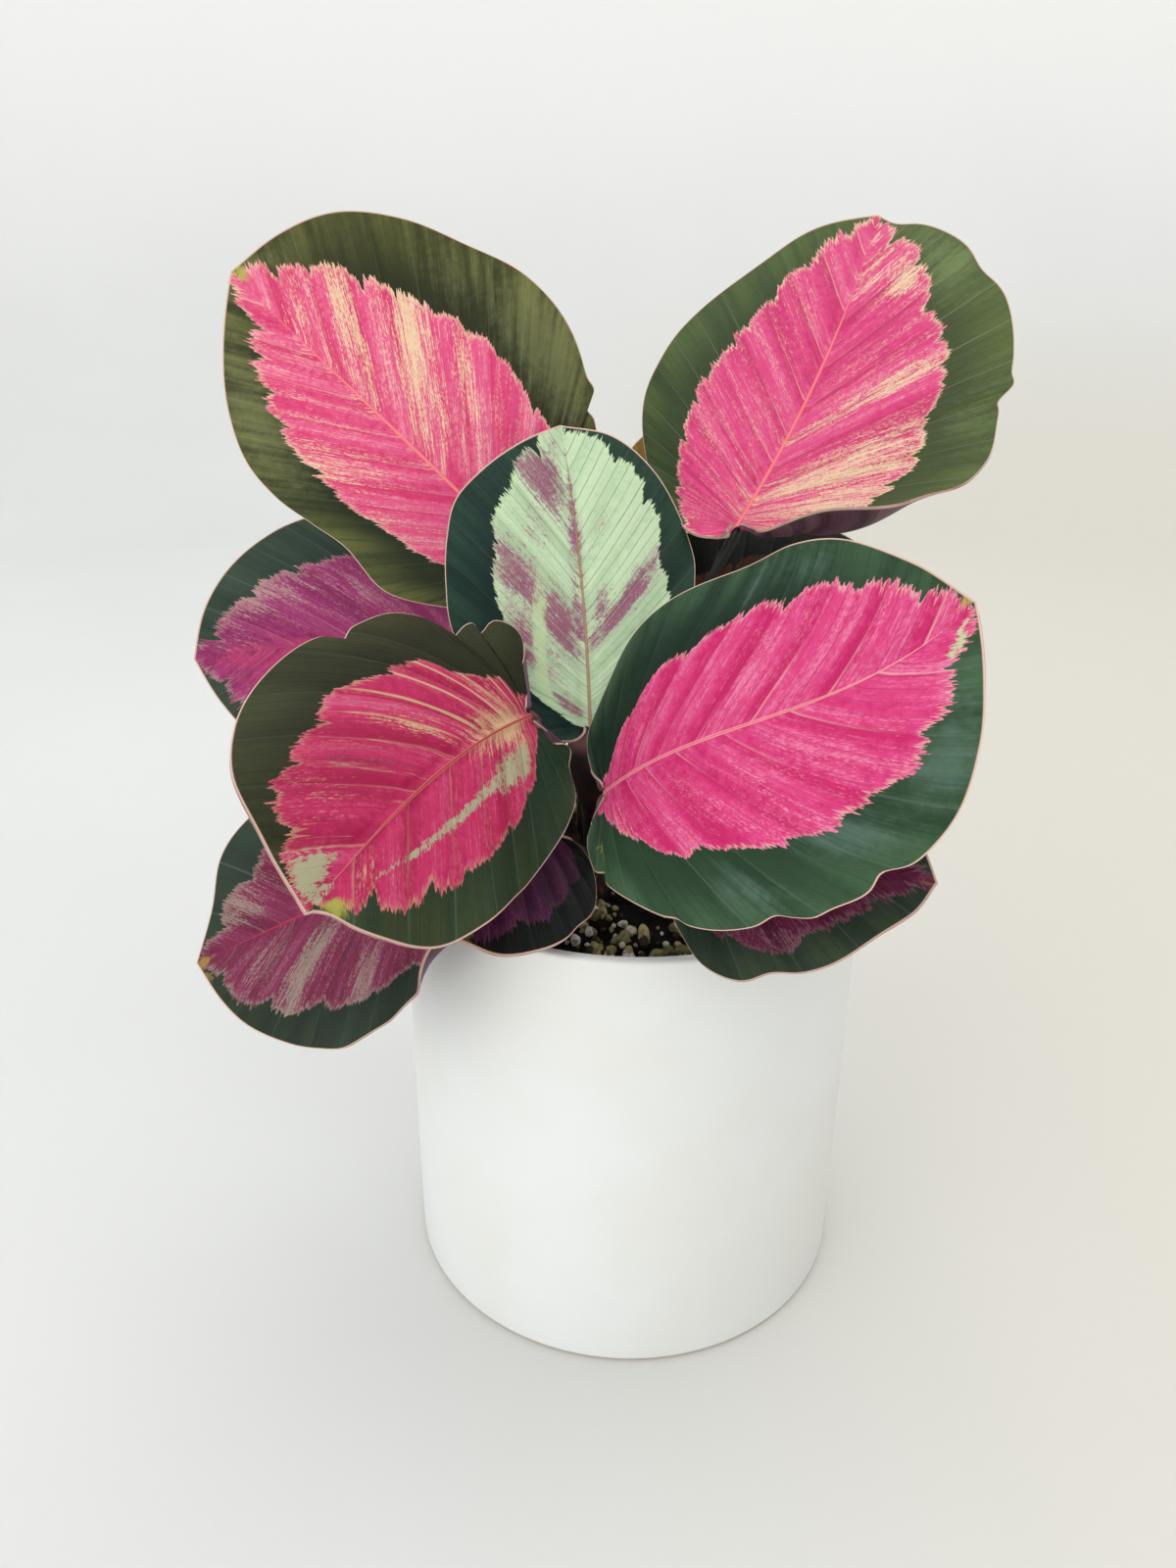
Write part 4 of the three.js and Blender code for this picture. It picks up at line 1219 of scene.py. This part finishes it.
def stalk_finish():
    """A stalk: near black with red, pink at the joint, painted shade over the upper stalk where the leaf
    has it, and papery brown sheath low down.
    """
    f = Finish("leaf_stalk")
    place = f.place()
    stretched = f.node("Mapping", {0: place, 3: FIBRE_STRETCH})
    fibres = f.noise(stretched, scale=900.0, detail=3.0)
    cloud = f.noise(place, scale=90.0)
    skin = f.blend(f.step(cloud, 0.4, 0.62), STALK_DARK, STALK_RED)
    skin = f.blend(f.step(f.value("climb"), *JOINT_PINK_SPAN, 0.0, 0.85), skin, JOINT_PINK)
    # painted shade over the upper stalk
    skin = f.blend(f.value("shade"), skin, STALK_SHADE)
    low = f.step(f.height(), *metres(SHEATH_BROWN_LEVELS), 1.0, 0.0)
    papery = f.blend(f.step(fibres, 0.4, 0.6), SHEATH_DARK, SHEATH_BROWN)
    skin = f.blend(f.times(low, f.step(cloud, 0.35, 0.6)), skin, papery)
    ridge = f.bump(fibres, strength=0.5, distance=0.3)
    return f.use(base_color=skin, roughness=0.5, specular_ior_level=0.3, normal=ridge)


def make_pot():
    """A cylinder hollowed from its top face, with its rim, foot and inner corner rounded."""
    bpy.ops.mesh.primitive_cylinder_add(
        vertices=POT_SIDES, radius=POT_RADIUS * MM, depth=POT_HEIGHT * MM,
        location=(0, 0, POT_HEIGHT / 2 * MM),
    )
    pot = bpy.context.object
    pot.name = pot.data.name = "pot_body"
    bpy.ops.object.transform_apply(location=True, rotation=False, scale=False)
    only(pot)
    bpy.ops.object.mode_set(mode="EDIT")
    bpy.ops.mesh.select_all(action="DESELECT")
    bpy.ops.object.mode_set(mode="OBJECT")
    for face in pot.data.polygons:
        face.select = face.normal.z > 0.9
    bpy.ops.object.mode_set(mode="EDIT")
    bpy.ops.mesh.inset(thickness=POT_WALL * MM, depth=0)
    bpy.ops.mesh.extrude_region_move(
        TRANSFORM_OT_translate={"value": (0, 0, -(POT_HEIGHT - POT_FLOOR) * MM)}
    )
    bpy.ops.object.mode_set(mode="OBJECT")
    weights = pot.data.attributes.new("bevel_weight_edge", "FLOAT", "EDGE")
    for edge, weight in zip(pot.data.edges, weights.data):
        a, b = (pot.data.vertices[i].co.z for i in edge.vertices)
        if abs(a - b) < 1e-6:
            rounding = FLOOR_CORNER_ROUNDING
            if a < MM:
                rounding = FOOT_ROUNDING
            elif a > POT_HEIGHT / 2 * MM:
                rounding = RIM_ROUNDING
            weight.value = rounding / FOOT_ROUNDING
    apply_modifier(
        pot, "BEVEL", width=FOOT_ROUNDING * MM, segments=ROUNDING_STEPS, limit_method="WEIGHT",
    )
    smooth(pot, angle=40)
    pot.data.materials.append(ceramic_finish())
    return pot


def ceramic_finish():
    """Satin white glaze with faint specks, bare where the pot stands."""
    f = Finish("satin_white_ceramic")
    place = f.place()
    cloud = f.noise(place, scale=14.0, detail=3.0)
    specks = f.noise(place, scale=900.0)
    skin = f.blend(f.step(cloud, 0.35, 0.65), CERAMIC, CERAMIC_WARM)
    skin = f.blend(f.step(specks, 0.72, 0.8, 0.0, 0.25), skin, CERAMIC_SPECK)
    skin = f.blend(f.step(f.height(), *metres(FOOT_BARE_LEVELS), 1.0, 0.0), skin, FOOT_BARE)
    pitted = f.add(f.noise(place, scale=60.0, detail=4.0), f.times(specks, 0.15))
    return f.use(
        base_color=skin, roughness=f.step(cloud, 0.3, 0.7, 0.33, 0.42),
        specular_ior_level=0.5, normal=f.bump(pitted, strength=0.12, distance=0.3),
    )


def mix_height(x, y):
    """Height of the potting mix: a low dome with lumps."""
    reach = np.hypot(x, y) / (POT_RADIUS - POT_WALL)
    lumps = np.sin(x * 0.31 + 1.1) * np.cos(y * 0.27) + 0.6 * np.sin(x * 0.13 - y * 0.41 + 0.5)
    return MIX_LEVEL + MIX_DOME * (1 - reach ** 2) + MIX_LUMP * lumps


def make_mix():
    """A grid rolled round into a disc, with its first rows drawn down as the skirt."""
    radius = POT_RADIUS - POT_WALL - MIX_GAP
    bpy.ops.mesh.primitive_grid_add(x_subdivisions=MIX_SIDES, y_subdivisions=MIX_RINGS, size=2)
    mix = bpy.context.object
    mix.name = mix.data.name = "potting_mix"
    grid = points_of(mix)
    angle = np.pi * grid[:, 0]
    share = (grid[:, 1] + 1) / 2
    skirt = share < MIX_SKIRT
    out = radius * np.where(skirt, 1.0, (1 - share) / (1 - MIX_SKIRT))
    x, y = out * np.cos(angle), out * np.sin(angle)
    z = mix_height(x, y)
    crumbs = [noise.noise(Vector((a, b, 3.1))) for a, b in zip(x * CRUMBS_PER_MM, y * CRUMBS_PER_MM)]
    drawn_down = POT_FLOOR + MIX_GAP + (z - POT_FLOOR) * share / MIX_SKIRT
    z = np.where(skirt, drawn_down, z + MIX_CRUMB * np.array(crumbs))
    move_points(mix, np.stack([x, y, z], 1) * MM)
    in_edit_mode(mix, close_and_right)
    smooth(mix, angle=60)
    mix.data.materials.append(mix_finish())
    return mix


def close_and_right():
    """Closes the foot of the skirt and the middle, and turns all faces outwards."""
    bpy.ops.mesh.remove_doubles(threshold=MIX_WELD * MM)
    bpy.ops.mesh.select_all(action="DESELECT")
    bpy.ops.mesh.select_non_manifold()
    bpy.ops.mesh.edge_face_add()
    bpy.ops.mesh.select_all(action="SELECT")
    bpy.ops.mesh.normals_make_consistent(inside=False)


def mix_finish():
    """Near black, browner on its lumps, with paler dust."""
    f = Finish("potting_mix")
    place = f.place()
    lumps = f.noise(place, scale=260.0, detail=4.0, rough=0.65)
    dust = f.noise(place, scale=1400.0, detail=3.0)
    skin = f.blend(f.step(lumps, 0.42, 0.62), MIX_DARK, MIX_BROWN)
    skin = f.blend(f.step(dust, 0.64, 0.78, 0.0, 0.45), skin, MIX_DUST)
    ridge = f.bump(f.add(lumps, f.times(dust, 0.4)), strength=0.9, distance=1.5)
    return f.use(base_color=skin, roughness=0.95, specular_ior_level=0.2, normal=ridge)


def make_stones():
    """One lumpy stone of each kind, to be copied as the loose grains."""
    stones = []
    for kind in range(STONE_KINDS):
        bpy.ops.mesh.primitive_ico_sphere_add(subdivisions=2, radius=1.0)
        stone = bpy.context.object
        points = points_of(stone)
        apart = Vector((kind * 7.0, 0, 0))
        bumps = [GRAIN_BUMPS * noise.noise(Vector(p) * 1.3 + apart) for p in points]
        move_points(stone, points * (1 + np.array(bumps))[:, None])
        stones.append(stone)
    return stones


def make_grains():
    """Pumice, clay and bark grains, modelled as three stones and strewn over the mix."""
    draw = random.Random(GRAIN_SEED)
    stones = make_stones()
    feet = [leaf["foot"] for leaf in LEAVES.values()]
    smallest, largest = GRAIN_RADII
    copies = []
    while len(copies) < GRAIN_COUNT:
        angle, share = draw.uniform(0, 2 * math.pi), math.sqrt(draw.random())
        size = smallest + (largest - smallest) * draw.random() ** GRAIN_SMALL_BIAS
        out = (POT_RADIUS - POT_WALL - size - MIX_GAP) * share
        x, y = out * math.cos(angle), out * math.sin(angle)
        turn = [draw.uniform(0, 6.3) for _ in range(3)]
        tone = draw.random()
        crowd = noise.noise(Vector((x * GRAIN_CLUSTER, y * GRAIN_CLUSTER, 0.7))) + GRAIN_SPREAD
        if draw.random() > crowd * GRAIN_CROWDING:
            continue
        if any(math.hypot(x - a, y - b) < SHEATH_RADIUS + size * GRAIN_CLEARANCE for a, b in feet):
            continue
        stone = draw.choice(stones)
        copy = stone.copy()
        copy.data = stone.data.copy()
        bpy.context.collection.objects.link(copy)
        spin = Matrix.Identity(4)
        for amount, axis in zip(turn, "XYZ"):
            spin = spin @ Matrix.Rotation(amount, 4, axis)
        lift = float(mix_height(np.array(x), np.array(y))) + size * GRAIN_RISE
        place = Matrix.Translation(Vector((x, y, lift)) * MM)
        copy.data.transform(place @ spin @ Matrix.Scale(size * MM, 4) @ Matrix.Diagonal(GRAIN_SHAPE))
        give_values(copy, "tone", np.full(len(copy.data.vertices), tone))
        copies.append(copy)
    for stone in stones:
        bpy.data.objects.remove(stone)
    deselect()
    for copy in copies:
        copy.select_set(True)
    bpy.context.view_layer.objects.active = copies[0]
    bpy.ops.object.join()
    grains = bpy.context.object
    grains.name = grains.data.name = "mix_grains"
    bpy.ops.object.shade_smooth()
    grains.data.materials.append(grain_finish())
    return grains


def grain_finish():
    """Each grain takes one of the tones, by its own number, with dirt over it."""
    f = Finish("mix_grains")
    tone = f.value("tone")
    skin = GRAIN_TONES[0]
    for index, text in enumerate(GRAIN_TONES[1:], 1):
        edge = index / len(GRAIN_TONES)
        skin = f.blend(f.step(tone, edge - 0.01, edge + 0.01), skin, text)
    dirt = f.noise(f.place(), scale=700.0, detail=4.0, rough=0.6)
    skin = f.blend(f.step(dirt, 0.45, 0.7, 0.0, 0.7), skin, GRAIN_DIRT)
    ridge = f.bump(dirt, strength=0.8, distance=0.5)
    return f.use(base_color=skin, roughness=0.85, specular_ior_level=0.25, normal=ridge)


def make_floor():
    """A round pale floor that curves up into a low wall."""
    profile = [(0.0, 0.0), (FLOOR_RADIUS, 0.0)]
    for step in range(1, FLOOR_CURVE_STEPS + 1):
        angle = math.radians(90 * step / FLOOR_CURVE_STEPS)
        out, up = FLOOR_CURVE * math.sin(angle), FLOOR_CURVE * (1 - math.cos(angle))
        profile.append((FLOOR_RADIUS + out, up))
    profile.append((FLOOR_RADIUS + FLOOR_CURVE, FLOOR_CURVE + FLOOR_WALL))
    points = [(x * MM, 0, z * MM) for x, z in profile]
    mesh = bpy.data.meshes.new("floor")
    mesh.from_pydata(points, [(i, i + 1) for i in range(len(points) - 1)], [])
    floor = bpy.data.objects.new("floor", mesh)
    bpy.context.collection.objects.link(floor)

    def sweep():
        bpy.ops.mesh.spin(steps=FLOOR_SIDES, angle=2 * math.pi, center=(0, 0, 0), axis=(0, 0, 1))
        bpy.ops.mesh.select_all(action="SELECT")
        bpy.ops.mesh.remove_doubles(threshold=FLOOR_WELD * MM)
        bpy.ops.mesh.normals_make_consistent(inside=True)

    in_edit_mode(floor, sweep)
    bpy.ops.object.shade_smooth()
    floor.data.materials.append(floor_finish())


def floor_finish():
    """Pale grey, warmer low down on the right and whiter up the wall."""
    f = Finish("pale_floor")
    cloud = f.noise(f.place(), scale=3.0)
    skin = f.blend(f.step(cloud, 0.3, 0.7), FLOOR_COLOUR, FLOOR_CLOUD)
    low = f.step(f.height(), *metres(FLOOR_WARM_LEVELS), 1.0, 0.0)
    rightward = f.step(f.sideways(), *metres(FLOOR_WARM_SIDEWAYS))
    skin = f.blend(f.times(rightward, low), skin, FLOOR_WARM)
    skin = f.blend(f.step(f.height(), *metres(WALL_LEVELS)), skin, WALL_COLOUR)
    return f.use(base_color=skin, roughness=0.85, specular_ior_level=0.1)


def light_studio():
    """Round soft lamps under an even pale sky."""
    for name, (place, aim, size, power, tint) in LAMPS.items():
        bpy.ops.object.light_add(type="AREA", location=Vector(place) * MM)
        lamp = bpy.context.object
        lamp.name = name
        lamp.data.shape = "DISK"
        lamp.data.size = size * MM
        lamp.data.energy = power
        lamp.data.color = colour(tint)[:3]
        ahead = Vector(aim) * MM - lamp.location
        lamp.rotation_euler = ahead.to_track_quat("-Z", "Y").to_euler()
    world = bpy.data.worlds.new("studio")
    bpy.context.scene.world = world
    world.use_nodes = True
    sky = world.node_tree.nodes["Background"]
    sky.inputs["Color"].default_value = colour(SKY_TINT)
    sky.inputs["Strength"].default_value = SKY_STRENGTH
    bpy.context.scene.view_settings.view_transform = "Standard"


def settle(piece, slot, *nodes):
    """Hangs a piece under the root and hides the imported nodes it stands for; the slot is not used."""
    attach(piece, "root")
    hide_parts(*nodes)


deselect()
place_camera()
make_floor()
light_studio()
UNDER, RIM, STALK = underside_finish(), rim_finish(), stalk_finish()
settle(make_pot(), "pot", "pot")
settle(make_mix(), "soil", "soil")
grains = make_grains()
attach(grains, "root")
for number, (name, leaf) in enumerate(LEAVES.items()):
    settle(make_blade(name, leaf, number + 1), f"blade_{name}", f"leaf_blade_{name}")
    settle(make_stalk(name, leaf), "stalk", f"leaf_stalk_{name}")
